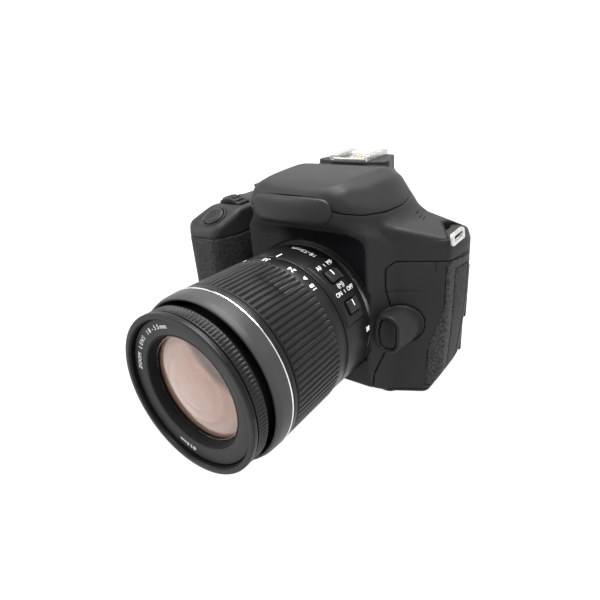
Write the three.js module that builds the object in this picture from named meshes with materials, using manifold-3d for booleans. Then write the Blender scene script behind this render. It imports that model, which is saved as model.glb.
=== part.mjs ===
// A digital single-lens reflex camera with a zoom lens, in millimetres.
// +X is to the right of someone facing the lens, +Y runs back into the camera, +Z is up.
// The origin is on the underside of the base, below where the optical axis meets the image plane.
import * as THREE from "three";
import { mergeVertices } from "three/addons/utils/BufferGeometryUtils.js";
import Module from "manifold-3d";

const wasm = await Module();
wasm.setup();

// ---------------------------------------------------------------- driving dimensions
const AXIS_Z = 39.5; // height of the optical axis
const FLANGE_Y = -44; // lens flange, 44 mm in front of the image plane
const LEFT_X = -71.8; // outside of the hand grip
const RIGHT_X = 59.2; // outside of the terminal side: 131 mm overall
const REAR_Y = 15.5; // flat back around the monitor
const TOTAL_H = 102.6; // top of the accessory shoe
const FRONT_Y = -119.2; // front rim of the lens
const WALL = 2.4; // cover thickness
const GAP = 0.3; // clearance between neighbouring pieces
const SKIN = 1.1; // rubber covering
const FINE = 36; // sides of a large round piece
const COARSE = 16; // sides of a button

// ---------------------------------------------------------------- solids
// A closed geometry as a manifold solid, with its shared vertices merged and its faces turned outwards.
function solid(geometry) {
  const bare = geometry.index ? geometry.toNonIndexed() : geometry.clone();
  bare.deleteAttribute("normal");
  bare.deleteAttribute("uv");
  const merged = mergeVertices(bare, 1e-4);
  const corners = merged.index.array;
  const faces = [];
  for (let i = 0; i < corners.length; i += 3) {
    const [a, b, c] = corners.slice(i, i + 3);
    if (a !== b && b !== c && a !== c) faces.push(a, b, c);
  }
  const vertProperties = merged.attributes.position.array;
  const build = (list) =>
    new wasm.Manifold(new wasm.Mesh({ numProp: 3, vertProperties, triVerts: new Uint32Array(list) }));
  const made = build(faces);
  return made.volume() > 0 ? made : build(faces.reverse());
}

const AXES = {
  x: [new THREE.Vector3(0, 1, 0), new THREE.Vector3(0, 0, 1), new THREE.Vector3(1, 0, 0)],
  y: [new THREE.Vector3(1, 0, 0), new THREE.Vector3(0, 0, 1), new THREE.Vector3(0, -1, 0)],
  z: [new THREE.Vector3(1, 0, 0), new THREE.Vector3(0, 1, 0), new THREE.Vector3(0, 0, 1)],
};

// A flat outline pushed along one axis: (y, z) along x, (x, z) along y, or (x, y) along z.
function prism(points, axis, from, to) {
  const shape = new THREE.Shape(points.map(([a, b]) => new THREE.Vector2(a, b)));
  const geometry = new THREE.ExtrudeGeometry(shape, { depth: to - from, bevelEnabled: false });
  geometry.applyMatrix4(new THREE.Matrix4().makeBasis(...AXES[axis]));
  const start = axis === "y" ? to : from;
  geometry.translate(axis === "x" ? start : 0, axis === "y" ? start : 0, axis === "z" ? start : 0);
  return solid(geometry);
}

function box(x0, x1, y0, y1, z0, z1) {
  const geometry = new THREE.BoxGeometry(x1 - x0, y1 - y0, z1 - z0);
  geometry.translate((x0 + x1) / 2, (y0 + y1) / 2, (z0 + z1) / 2);
  return solid(geometry);
}

// A round bar or cone about any direction, from one distance to another along it.
function rod(centre, direction, radius, from, to, sides = COARSE, farRadius = radius) {
  const along = new THREE.Vector3(...direction).normalize();
  const geometry = new THREE.CylinderGeometry(farRadius, radius, to - from, sides);
  geometry.translate(0, (from + to) / 2, 0);
  geometry.applyQuaternion(new THREE.Quaternion().setFromUnitVectors(new THREE.Vector3(0, 1, 0), along));
  geometry.translate(...centre);
  return solid(geometry);
}

// A closed profile of (radius, y) points turned about the optical axis.
function turned(profile, sides = FINE) {
  const points = [...profile, profile[0]].map(([r, y]) => new THREE.Vector2(r, y));
  const geometry = new THREE.LatheGeometry(points, sides);
  geometry.translate(0, 0, AXIS_Z);
  return solid(geometry);
}

const ring = (inner, outer, y0, y1, sides = FINE) =>
  turned([[inner, y0], [outer, y0], [outer, y1], [inner, y1]], sides);

// The part of space between two angles about the optical axis, measured from straight up towards +X.
function wedge(fromDeg, toDeg, y0, y1, radius = 60) {
  const points = [[0, AXIS_Z]];
  const steps = 6;
  for (let i = 0; i <= steps; i += 1) {
    const angle = THREE.MathUtils.degToRad(fromDeg + ((toDeg - fromDeg) * i) / steps);
    points.push([radius * Math.sin(angle), AXIS_Z + radius * Math.cos(angle)]);
  }
  return prism(points, "y", y0, y1);
}

// Rings of equal point counts, joined one after another and closed by a fan of triangles at each end.
function loft(rings) {
  const count = rings[0].length;
  const position = rings.flat(2);
  const index = [];
  for (let level = 0; level < rings.length - 1; level += 1)
    for (let i = 0; i < count; i += 1) {
      const a = level * count + i;
      const b = level * count + ((i + 1) % count);
      index.push(a, b, b + count, a, b + count, a + count);
    }
  for (const level of [0, rings.length - 1]) {
    const sum = rings[level].reduce((total, p) => total.map((v, k) => v + p[k] / count), [0, 0, 0]);
    const centre = position.push(...sum) / 3 - 1;
    for (let i = 0; i < count; i += 1) {
      const a = level * count + i;
      const b = level * count + ((i + 1) % count);
      index.push(...(level ? [a, b, centre] : [b, a, centre]));
    }
  }
  const geometry = new THREE.BufferGeometry();
  geometry.setAttribute("position", new THREE.Float32BufferAttribute(position, 3));
  geometry.setIndex(index);
  return solid(geometry);
}

// ---------------------------------------------------------------- outlines
const ARC_STEPS = 2;

// Points of a polygon whose corners [a, b, radius] are rounded.
function rounded(corners, steps = ARC_STEPS) {
  const points = [];
  corners.forEach(([a, b, radius], i) => {
    const here = new THREE.Vector2(a, b);
    const before = new THREE.Vector2(...corners.at(i - 1)).sub(here).normalize();
    const after = new THREE.Vector2(...corners[(i + 1) % corners.length]).sub(here).normalize();
    const half = Math.acos(THREE.MathUtils.clamp(before.dot(after), -1, 1)) / 2;
    const reach = radius / Math.tan(half);
    const start = here.clone().addScaledVector(before, reach);
    const end = here.clone().addScaledVector(after, reach);
    const middle = before.clone().add(after).normalize();
    const centre = here.clone().addScaledVector(middle, radius / Math.sin(half));
    const from = start.clone().sub(centre).angle();
    let turn = end.clone().sub(centre).angle() - from;
    turn = THREE.MathUtils.euclideanModulo(turn + Math.PI, 2 * Math.PI) - Math.PI;
    for (let k = 0; k <= steps; k += 1) {
      const angle = from + (turn * k) / steps;
      points.push([centre.x + radius * Math.cos(angle), centre.y + radius * Math.sin(angle)]);
    }
  });
  return points;
}

// A counter-clockwise outline moved inwards by a distance, each corner keeping its rounding centre.
function inset(corners, distance) {
  return corners.map(([a, b, radius = 0], i) => {
    const [pa, pb] = corners.at(i - 1);
    const [na, nb] = corners[(i + 1) % corners.length];
    const first = new THREE.Vector2(pb - b, a - pa).normalize();
    const second = new THREE.Vector2(b - nb, na - a).normalize();
    const normal = first.clone().add(second).normalize();
    const scale = distance / normal.dot(first);
    const bend = Math.sign(first.cross(second));
    return [a + normal.x * scale, b + normal.y * scale, Math.max(radius - bend * distance, 0.3)];
  });
}

const mirrored = (half) => [...half, ...half.map(([a, ...rest]) => [-a, ...rest]).reverse()];

// ---------------------------------------------------------------- form of the body
// Plan of the main block.
const PLAN = [
  [RIGHT_X + 1.2, -6, 12],
  [54, REAR_Y, 6],
  [-64, REAR_Y, 8],
  [LEFT_X, 6, 8],
  [LEFT_X, -22, 3],
  [-34, -25, 3],
  [28, -25, 2],
  [32, -34, 3],
  [39, -30.5, 10],
  [56.4, -22, 2.5],
];
// Front view of the main block: a sloping shoulder on the terminal side, a flat one over the grip.
const FACE = [
  [-67, 0, 3],
  [50, 0, 3],
  [56, 11, 12],
  [RIGHT_X, 45, 20],
  [RIGHT_X, 70, 4],
  [56.5, 74.5, 3],
  [35, 80.5, 8],
  [-35, 82.5, 4],
  [-62, 82.5, 7],
  [LEFT_X, 71, 8],
  [LEFT_X, 8, 8],
];
// Plan of the mount housing, and its side view, which chamfers its foot.
const HOUSING_PLAN = [
  [38, -20, 3],
  [-33.2, -20, 3],
  [-33.2, -42, 2.6],
  [31, -42, 4],
  [35.5, -32, 5],
];
const HOUSING_SIDE = [
  [-10, 0],
  [-10, 84],
  [-50, 84],
  [-50, 7],
  [-42, 7],
  [-31, 0],
];
// Plan of the grip, pulled in by a different amount at each level.
const GRIP_PLAN = [
  [-43, -14, 5],
  [LEFT_X, -14, 5],
  [LEFT_X, -42.5, 9],
  [-62.5, -52.5, 7],
  [-47, -51, 7],
  [-42, -38, 6],
];
const GRIP_LEVELS = [
  { z: 0, pull: 2.5, front: 2 },
  { z: 4, pull: 0.4, front: 1 },
  { z: 36, pull: 0, front: 1 },
  { z: 66, pull: 0, front: 0 },
  { z: 84, pull: 0, front: 0 },
];
// Side view of the grip's top: it slopes down to the front, where the shutter button sits.
const GRIP_TOP = [
  [-60, -1],
  [-60, 66],
  [-53, 71.5],
  [-49, 74.6],
  [-35, 82.5],
  [0, 82.5],
  [0, -1],
];
// Front views of the viewfinder hump, from the nose back to the eyepiece. +X corners, bottom first.
const HUMP_SECTIONS = [
  { y: -52, half: [[16.4, 84.3, 3], [20.4, 90, 4], [19, 93.2, 2], [15, 95.2, 2]] },
  { y: -48, half: [[21, 82.2, 4], [24.6, 89.5, 5], [20.4, 95.6, 3], [16.6, 97, 2]] },
  { y: -43, half: [[26, 78, 4], [28, 88.5, 6], [22.8, 96.2, 4], [18.4, 98.2, 2]] },
  { y: -34, half: [[31, 74, 4], [31, 87, 8], [25.4, 95.8, 5], [19.4, 98.9, 2]] },
  { y: -20, half: [[35, 72, 3], [33.6, 86, 9], [27.4, 96, 5], [20.8, 99.4, 2]] },
  { y: -9, half: [[37, 72, 2], [34, 85, 9], [27.2, 95.8, 5], [21.4, 99.5, 2]] },
  { y: -1, half: [[36.6, 72, 2], [32.4, 84, 9], [25, 94.8, 5], [19.6, 99, 2]] },
  { y: 8, half: [[31, 72, 2], [28, 82, 6], [21.4, 92.6, 4], [15.4, 97.6, 2]] },
  { y: 17, half: [[23, 72, 2], [22.4, 80, 4], [17.4, 88.8, 4], [12.6, 95.4, 3]] },
];
const BODY_TOP = 100.2;

const GRIP_FRONT_Y = -52;
const gripForm = (depth) =>
  loft(
    GRIP_LEVELS.map(({ z, pull, front }, i) => {
      const level = i === 0 ? depth : z;
      const foremost = GRIP_FRONT_Y + front + depth;
      return rounded(inset(GRIP_PLAN, pull + depth)).map(([x, y]) => [x, Math.max(y, foremost), level]);
    }),
  )
    .intersect(prism(inset(GRIP_TOP.toReversed(), depth), "x", -80, -30))
    .intersect(prism(rounded(inset(FACE, depth)), "y", -70, 0));

const humpForm = (depth) =>
  loft(
    HUMP_SECTIONS.map(({ y, half }, i) => {
      const end = i === 0 ? depth : i === HUMP_SECTIONS.length - 1 ? -depth : 0;
      return rounded(inset(mirrored(half), depth)).map(([x, z]) => [x, y + end, z]);
    }),
  ).intersect(box(-50, 50, -70, 40, 0, BODY_TOP - depth));

// The front view of the block, run back along Y and drawn in more and more behind SLOPE_Y.
// The underside stays level.
const SLOPE_Y = -6;
const slope = (y) => 0.0155 * Math.max(y - SLOPE_Y, 0) ** 2;
function faceForm(depth) {
  const level = inset(FACE, depth);
  return loft(
    [-70, SLOPE_Y, -1, 4, 9, REAR_Y + 1].map((y) => {
      const gripSide = inset(FACE, depth + slope(y) / 2);
      const side = inset(FACE, depth + slope(y));
      const extra = slope(y) * 0.8; // by which the shoulder is drawn in further than the side below it
      const corners = level.map((corner, i) => {
        if (corner[1] < 20) return corner;
        if (corner[0] < 0) return gripSide[i];
        const [x, z, radius] = side[i];
        return corner[1] > 60 ? [x - extra, z - extra, radius] : side[i];
      });
      return rounded(corners).map(([x, z]) => [x, y, z]);
    }),
  );
}

// The whole outside of the body, moved inwards by a depth.
function bodyForm(depth) {
  const block = prism(rounded(inset(PLAN, depth)), "z", depth, 90).intersect(faceForm(depth));
  const housing = prism(rounded(inset(HOUSING_PLAN, depth)), "z", 0, 82 - depth).intersect(
    prism(inset(HOUSING_SIDE, depth), "x", -60, 60),
  );
  return block.add(housing).add(gripForm(depth)).add(humpForm(depth));
}
const OUTSIDE = bodyForm(0);
const INSIDE = bodyForm(WALL);
const UNDER_SKIN = bodyForm(SKIN + GAP);
const SKIN_BACK = bodyForm(SKIN);

// ---------------------------------------------------------------- regions that the covers divide
const BASE_TOP = 2.2;
const SEAM_Y = 0; // front and rear covers meet here
const TOP_SEAM = [
  [-90, 70.3],
  [-31.3, 70.3],
  [-31.3, 80.4],
  [31.4, 80.4],
  [36, 74.2],
  [90, 74.2],
  [90, 130],
  [-90, 130],
];
const REAR_SEAM_Z = 70.3;
const PANEL_REGION = [
  [30, 2],
  [90, 2],
  [90, 64.6],
  [34.5, 64.6],
  [32.2, 62],
  [32.2, 51],
  [34.2, 45],
  [34.2, 27],
  [31, 14],
];
const grow = (points, amount) => inset(points, -amount);

const topRegion = (gap) =>
  prism(grow(TOP_SEAM, -gap), "y", -80, SEAM_Y).add(
    box(-90, 90, SEAM_Y - 0.01, 60, REAR_SEAM_Z + gap, 130),
  );
const panelRegion = (gap) => prism(grow(PANEL_REGION, -gap), "y", -80, SEAM_Y - gap);

// Side view of what the flash head covers: over the nose, down the flanks, and back to the shoe.
const FLASH_REAR_Y = -6.2;
const FLASH_SIDE = [
  [-60, 94.6],
  [-48, 94.4],
  [-43, 89.5],
  [-38, 86],
  [-30, 83.8],
  [-12, 83.2],
  [FLASH_REAR_Y, 84.6],
  [FLASH_REAR_Y, 120],
  [-60, 120],
];
const flashRegion = (gap) => prism(grow(FLASH_SIDE, gap), "x", -60, 60);

// ---------------------------------------------------------------- places of controls
const SHUTTER = { centre: [-54, -42.6, 78.3], direction: [0, -0.51, 0.86], radius: 5.4 };
const DIAL = { centre: [-54, -28, 76], radius: 9.6, half: 3.2 };
const MODE = { x: -45, y: 1, radius: 9.4, base: 84.2, top: 88.6 };
const POWER = { radius: 11.6, base: 82.8, top: 83.9 };
const TOP_BUTTONS = {
  iso_button: { centre: [-41, -21, 82.5], radius: 2.7 },
  display_button: { centre: [-46.5, -16.5, 82.5], radius: 2.4 },
};
const REAR_BUTTONS = {
  menu_button: { x: 39, z: 67.5, radius: 1.7 },
  info_button: { x: 30, z: 67.5, radius: 1.7 },
  live_view_button: { x: -35.5, z: 66, radius: 2.6 },
  af_on_button: { x: -45.5, z: 64.5, radius: 2.7 },
  ae_lock_button: { x: -54.5, z: 63, radius: 2.3 },
  af_point_button: { x: -62, z: 60.5, radius: 2.3 },
  playback_button: { x: -44.5, z: 16, radius: 2.7 },
  erase_button: { x: -56, z: 16, radius: 2.7 },
};
const PAD = { x: -50, z: 38.5 };
const RELEASE = { x: 38.6, z: 36.4, face: -41.7, back: -38.2 };
const PREVIEW = { x: -26.5, z: 12.5, radius: 2.6 };
const TRIPOD = { x: 0, y: -14 };
const MONITOR = { x0: -33, x1: 48, z0: 8, z1: 64, y0: 13.5, y1: 19.2, hingeX: 50.8, hingeY: 16.4 };
const CARD_DOOR = [[-9, 18], [11, 18], [11, 58], [-9, 58]];
const FLAPS = { front: [-16.5, -5.6], rear: [-4.8, 7.6], z: [10, 60] };
const BATTERY_DOOR = [-65, -48, -40.5, -5.5];
const LUGS = { right: { x: 57.2, y: -17.4, z: 72.6 }, left: { x: -67.8, y: -14, z: 74.4 } };

const throughBack = (x, z, radius) => rod([x, 0, z], [0, 1, 0], radius, 5, 30);

// ---------------------------------------------------------------- materials
const paint = (color, roughness, metalness = 0) =>
  new THREE.MeshStandardMaterial({ color, roughness, metalness });
const PLASTIC = paint(0x2b2b2c, 0.6);
const RUBBER = paint(0x242425, 0.85);
const BUTTON = paint(0x1c1c1d, 0.45);
const METAL = paint(0xb9babb, 0.3, 1);
const DARK = paint(0x121213, 0.7);
const GLASS = paint(0x3a3033, 0.05);
const BOARD = paint(0x1d4a2c, 0.6);

const camera = new THREE.Group();
function node(name, made, material) {
  const { vertProperties, triVerts, numProp } = made.getMesh();
  const position = new Float32Array((vertProperties.length / numProp) * 3);
  for (let i = 0; i < position.length / 3; i += 1)
    position.set(vertProperties.subarray(i * numProp, i * numProp + 3), i * 3);
  const geometry = new THREE.BufferGeometry();
  geometry.setAttribute("position", new THREE.BufferAttribute(position, 3));
  geometry.setIndex(new THREE.BufferAttribute(triVerts, 1));
  geometry.computeVertexNormals();
  const mesh = new THREE.Mesh(geometry, material);
  mesh.name = name;
  camera.add(mesh);
}

// ---------------------------------------------------------------- covers
const SHELL = OUTSIDE.subtract(INSIDE);
const ABOVE_BASE = box(-90, 90, -90, 60, BASE_TOP + GAP, 130);
const BACK_HALF = box(-90, 90, SEAM_Y + GAP / 2, 60, -10, 130);
const FRONT_HALF = box(-90, 90, -90, SEAM_Y - GAP / 2, -10, 130);
const THROAT = rod([0, 0, AXIS_Z], [0, 1, 0], 29.2, -60, -20, FINE);

// Where the rubber coverings lie, as cutters for the covers below them.
const GRIP_SKIN_SIDE = [[-62, 4.5, 2], [-8, 4.5, 4], [-11, 30, 10], [-9, 69.6, 1], [-62, 69.6, 2]];
const gripSkinRegion = (gap) => prism(rounded(grow(GRIP_SKIN_SIDE, gap)), "x", -90, -40.6 + gap);
const SIDE_SKIN = [[-18.8, 62.5, 4], [-26, 20, 12], [-23, 4.5, 3], [9, 6, 4], [11, 40, 10], [8, 62.5, 4]];
const sideSkinRegion = (gap) => prism(rounded(grow(SIDE_SKIN, gap)), "x", 45, 90);
const skinCutter = gripSkinRegion(GAP).add(sideSkinRegion(GAP)).subtract(UNDER_SKIN);
const flapRegion = ([y0, y1], gap) => box(50, 70, y0 - gap, y1 + gap, FLAPS.z[0] - gap, FLAPS.z[1] + gap);

function gripRubber() {
  return OUTSIDE.subtract(SKIN_BACK).intersect(gripSkinRegion(0)).subtract(doorCutter(CARD_DOOR, 0.5));
}
function sideRubber() {
  return OUTSIDE.subtract(SKIN_BACK)
    .intersect(sideSkinRegion(0))
    .subtract(flapRegion(FLAPS.front, 0.5))
    .subtract(flapRegion(FLAPS.rear, 0.5));
}
function doorCutter([[y0, z0], , [y1, z1]], gap) {
  return box(-90, -60, y0 - gap, y1 + gap, z0 - gap, z1 + gap);
}

// The raised collar round the lens release button, a short cone.
const COLLAR = { x: 40.2, z: 36.8, rim: -42.2, foot: -27, radius: 7.4, flare: 1.6 };
const collar = (gap) =>
  rod(
    [COLLAR.x, 0, COLLAR.z],
    [0, 1, 0],
    COLLAR.radius + gap,
    COLLAR.rim,
    COLLAR.foot,
    32,
    COLLAR.radius + COLLAR.flare + gap,
  );
const RELEASE_SHAPE = [[4, 6.9, 3.4], [-2.6, 6.9, 2.6], [-3.9, 0, 6], [-2.6, -6.9, 2.6], [4, -6.9, 3.4]];
const releaseOutline = (gap) =>
  rounded(grow(RELEASE_SHAPE, gap)).map(([x, z]) => [RELEASE.x + x, RELEASE.z + z]);
const releaseHole = prism(releaseOutline(GAP), "y", -50, -20);
const housingRim = rod([0, 0, AXIS_Z], [0, 1, 0], 33.2, -50, -40.8, FINE);

function frontCover() {
  return SHELL.add(collar(0).subtract(bodyForm(1)))
    .intersect(FRONT_HALF)
    .intersect(ABOVE_BASE)
    .subtract(topRegion(0))
    .subtract(box(-34, 36, -18, 1, 72, 90))
    .subtract(panelRegion(0).subtract(collar(0.4)))
    .subtract(skinCutter)
    .subtract(THROAT)
    .subtract(housingRim)
    .subtract(releaseHole)
    .subtract(rod([PREVIEW.x, 0, PREVIEW.z], [0, 1, 0], PREVIEW.radius + GAP, -50, -30))
    .subtract(rod(pinCentre(), [0, 1, 0], 1.8, -50, -30, 16))
    .subtract(lugPocket(LUGS.right))
    .subtract(doorCutter(CARD_DOOR, 0.5));
}

function leftPanel() {
  return SHELL.intersect(FRONT_HALF)
    .intersect(ABOVE_BASE)
    .intersect(panelRegion(GAP))
    .subtract(collar(0.4 + GAP))
    .subtract(skinCutter)
    .subtract(flapRegion(FLAPS.front, 0.5))
    .subtract(flapRegion(FLAPS.rear, 0.5));
}

function rearCover() {
  const recess = box(MONITOR.x0 - 0.6, 80, MONITOR.y0 - GAP, 60, MONITOR.z0 - 1, MONITOR.z1 + 1);
  const floor = box(MONITOR.x0 - 3, 53, MONITOR.y0 - 2, MONITOR.y0 - GAP, MONITOR.z0 - 3, MONITOR.z1 + 3);
  let cover = SHELL.intersect(BACK_HALF).intersect(ABOVE_BASE).subtract(topRegion(-0.01));
  cover = cover.subtract(recess).add(floor).subtract(skinCutter).subtract(flapRegion(FLAPS.rear, 0.5));
  for (const { x, z, radius } of Object.values(REAR_BUTTONS))
    cover = cover.subtract(throughBack(x, z, radius + GAP));
  return cover
    .subtract(throughBack(PAD.x, PAD.z, 13 + GAP))
    .subtract(doorCutter(CARD_DOOR, 0.5));
}

// The wall under the flash head, and the hood over the finder mirrors.
function flashBay() {
  const under = humpForm(2.6).intersect(box(-18, 18, -40, FLASH_REAR_Y - 0.4, 70, 97));
  const floor = bodyForm(2).intersect(flashRegion(2).subtract(flashRegion(GAP)));
  return under.subtract(humpForm(4).intersect(box(-16.4, 16.4, -38.4, 30, 60, 95.4))).add(floor);
}

function topCover() {
  const hollow = box(-16.4, 16.4, -38.4, -4, 60, 92);
  let cover = SHELL.intersect(topRegion(GAP)).subtract(flashRegion(GAP));
  cover = cover.add(flashBay().intersect(topRegion(GAP))).subtract(hollow.intersect(humpForm(4)));
  // Room for the swing of the flash head behind its hinge.
  cover = cover.subtract(rod([0, FLASH_REAR_Y + 0.2, 98.2], [1, 0, 0], 1.6, -19, 19, 12));
  cover = cover.add(shoePlateau()).subtract(eyepieceTunnel());
  cover = cover.subtract(rod(SHUTTER.centre, SHUTTER.direction, SHUTTER.radius + GAP, -8, 8));
  const [dx, dy, dz] = DIAL.centre;
  const across = DIAL.radius + GAP;
  const along = DIAL.half + 0.5;
  cover = cover.subtract(box(dx - across, dx + across, dy - along, dy + along, dz - 12, dz + 20));
  for (const { centre, radius } of Object.values(TOP_BUTTONS))
    cover = cover.subtract(rod(centre, [0, 0, 1], radius + GAP, -6, 6));
  cover = cover.subtract(rod([MODE.x, MODE.y, 0], [0, 0, 1], 3.2, 76, 90));
  for (const lug of Object.values(LUGS)) cover = cover.subtract(lugPocket(lug));
  return cover.subtract(rod(DIOPTER.centre, [1, 0, 0], DIOPTER.radius + 0.6, -2.2, 2.2));
}
const DIOPTER = { centre: [-21.9, 14.6, 84], radius: 3.4, half: 1.7 };
const lugPocket = ({ x, y, z }) =>
  box(x - 3.4, x + 12, y - 9, y + 9, z - 0.4, z + 12).intersect(
    rod([x + Math.sign(x) * 3, y, z + 3], [0, 1, 0], 5.6, -8.6, 8.6, 16),
  );
// Plan of the plateau under the accessory shoe: corners on the +X side, front first.
const PLATEAU_HALF = [
  [8, -4.6, 6],
  [19.4, -1.6, 3],
  [15.8, 9, 6],
  [13.4, 17, 2],
];
const shoePlateau = () => prism(rounded(mirrored(PLATEAU_HALF)), "z", 94, 99.6);
const eyepieceTunnel = () => box(-11, 11, 5, 40, 74.5, 88);

function baseCover() {
  const [left, right, front, rear] = BATTERY_DOOR;
  const door = box(left - 0.5, right + 0.5, front - 0.5, rear + 0.5, -5, 10);
  return OUTSIDE.intersect(box(-90, 90, -90, 60, -1, BASE_TOP))
    .subtract(rod([TRIPOD.x, TRIPOD.y, 0], [0, 0, 1], 6.2, -5, 10, 24))
    .subtract(door);
}

// ---------------------------------------------------------------- inside
const tripodSocket = () =>
  rod([TRIPOD.x, TRIPOD.y, 0], [0, 0, 1], 5.9, 0, 7.5, 24).subtract(
    rod([TRIPOD.x, TRIPOD.y, 0], [0, 0, 1], 3.2, -1, 6.6, 24),
  );
const mirrorBox = () =>
  box(-19, 19, -38.8, -8.6, 20, 63)
    .subtract(box(-17, 17, -41, -8, 22, 61))
    .subtract(box(-14, 14, -34, -12, 60, 70))
    .add(box(-42, -18.5, -11, -8.6, 20, 60))
    .add(box(18.5, 42, -11, -8.6, 20, 60));
const focusingScreen = () => box(-14, 14, -33.5, -11, 63.3, 64.4);
const pentamirror = () =>
  prism([[-35, 65], [-6, 65], [4, 71], [4, 88], [-8, 91.4], [-26, 88], [-35, 76]], "x", -14.5, 14.5);
const shutterUnit = () => box(-22, 22, -7.6, -6.2, 14, 64).subtract(box(-12.4, 12.4, -9, -4, 31.2, 47.8));
const shutterCurtain = () => box(-13.4, 13.4, -5.6, -5, 30.4, 48.6);
const imageSensor = () => box(-17, 17, -3.4, -0.6, 26.5, 52.5).add(box(-11.15, 11.15, -0.7, 0, 32, 47));
const mainBoard = () => box(-32, 44, 4.6, 6.2, 8, 63);
const battery = () => box(-63.6, -49.6, -39.5, -6.5, 4.6, 54);

const MIRROR_HINGE = [-9.8, 51.4];
// A plate that starts at a point in the (y, z) plane and runs along a direction.
function leaf([y, z], angleDeg, length, thickness, halfWidth, skip = 0) {
  const angle = THREE.MathUtils.degToRad(angleDeg);
  const along = [Math.cos(angle), Math.sin(angle)];
  const across = [-along[1], along[0]];
  const at = (u, v) => [y + along[0] * u + across[0] * v, z + along[1] * u + across[1] * v];
  const plate = [at(skip, 0), at(length, 0), at(length, thickness), at(skip, thickness)];
  return prism(plate, "x", -halfWidth, halfWidth);
}
const reflexMirror = () => leaf(MIRROR_HINGE, 225, 26, 1.1, 13.5);
const SUB_HINGE = [-19.6, 39.2];
const subMirror = () => leaf(SUB_HINGE, 315, 9, 0.8, 7, 0.5);

// ---------------------------------------------------------------- mount and front controls
const mountRing = () =>
  ring(27, 32.3, FLANGE_Y, -41.2).subtract(rod(pinCentre(), [0, 1, 0], 1.8, -50, -30, 16));
const PIN_R = 29.6;
const PIN_DEG = 92;
function pinCentre() {
  const angle = THREE.MathUtils.degToRad(PIN_DEG);
  return [PIN_R * Math.sin(angle), 0, AXIS_Z + PIN_R * Math.cos(angle)];
}
const lockPin = () => rod(pinCentre(), [0, 1, 0], 1.4, -45, -38.6, 16);
const previewButton = () => rod([PREVIEW.x, 0, PREVIEW.z], [0, 1, 0], PREVIEW.radius, -42.9, -38.4);
const releaseButton = () => prism(releaseOutline(0), "y", RELEASE.face, RELEASE.back);

// ---------------------------------------------------------------- top controls
const shutterButton = () => rod(SHUTTER.centre, SHUTTER.direction, SHUTTER.radius, -3.6, 1.3, 28);
function mainDial() {
  const teeth = 24;
  const points = [];
  for (let i = 0; i < teeth * 2; i += 1) {
    const radius = i % 2 ? DIAL.radius : DIAL.radius - 0.9;
    const angle = (i * Math.PI) / teeth;
    points.push([DIAL.centre[0] + radius * Math.cos(angle), DIAL.centre[2] + radius * Math.sin(angle)]);
  }
  return prism(points, "y", DIAL.centre[1] - DIAL.half, DIAL.centre[1] + DIAL.half);
}
const topButton = ({ centre, radius }) => rod(centre, [0, 0, 1], radius, -3, 0.7);
const modeDial = () =>
  rod([MODE.x, MODE.y, 0], [0, 0, 1], MODE.radius, MODE.base, MODE.top, 36).add(
    rod([MODE.x, MODE.y, 0], [0, 0, 1], 2.8, 78, MODE.base + 0.1),
  );
const powerLever = () =>
  rod([MODE.x, MODE.y, 0], [0, 0, 1], POWER.radius, POWER.base, POWER.top, 36)
    .add(box(MODE.x - 19, MODE.x - 10, MODE.y - 2.4, MODE.y + 2.4, POWER.base, POWER.top + 0.8))
    .subtract(rod([MODE.x, MODE.y, 0], [0, 0, 1], 3.2, 80, 90));

// ---------------------------------------------------------------- accessory shoe and flash
const SHOE = { half: 10.6, inner: 9.35, lip: 6.25, y0: -3.4, y1: 15.2, floor: 100.1 };
const shoe = () =>
  prism(
    [
      [-SHOE.half, 99.7],
      [SHOE.half, 99.7],
      [SHOE.half, TOTAL_H],
      [SHOE.lip, TOTAL_H],
      [SHOE.lip, TOTAL_H - 0.55],
      [SHOE.inner, TOTAL_H - 0.55],
      [SHOE.inner, SHOE.floor],
      [-SHOE.inner, SHOE.floor],
      [-SHOE.inner, TOTAL_H - 0.55],
      [-SHOE.lip, TOTAL_H - 0.55],
      [-SHOE.lip, TOTAL_H],
      [-SHOE.half, TOTAL_H],
    ],
    "y",
    SHOE.y0,
    SHOE.y1,
  );
const flashHead = () => humpForm(0).intersect(flashRegion(0)).subtract(humpForm(2));

// ---------------------------------------------------------------- back controls
const rearButton = ({ x, z, radius }) => rod([x, 0, z], [0, 1, 0], radius, REAR_Y - 3, REAR_Y + 0.9);
const PAD_RADII = { dial: 13, dialInner: 9.2, pad: 8.9, padInner: 3.9, set: 3.6 };
const disc = (x, z, outer, inner, y0, y1) => {
  const whole = rod([x, 0, z], [0, 1, 0], outer, y0, y1, 36);
  return inner ? whole.subtract(rod([x, 0, z], [0, 1, 0], inner, y0 - 1, y1 + 1, 36)) : whole;
};
const controlDial = () =>
  disc(PAD.x, PAD.z, PAD_RADII.dial, PAD_RADII.dialInner, REAR_Y - 2.6, REAR_Y + 1.6);
const arrowPad = () => disc(PAD.x, PAD.z, PAD_RADII.pad, PAD_RADII.padInner, REAR_Y - 2.6, REAR_Y + 1.1);
const setButton = () => disc(PAD.x, PAD.z, PAD_RADII.set, 0, REAR_Y - 2.6, REAR_Y + 1.4);

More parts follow.
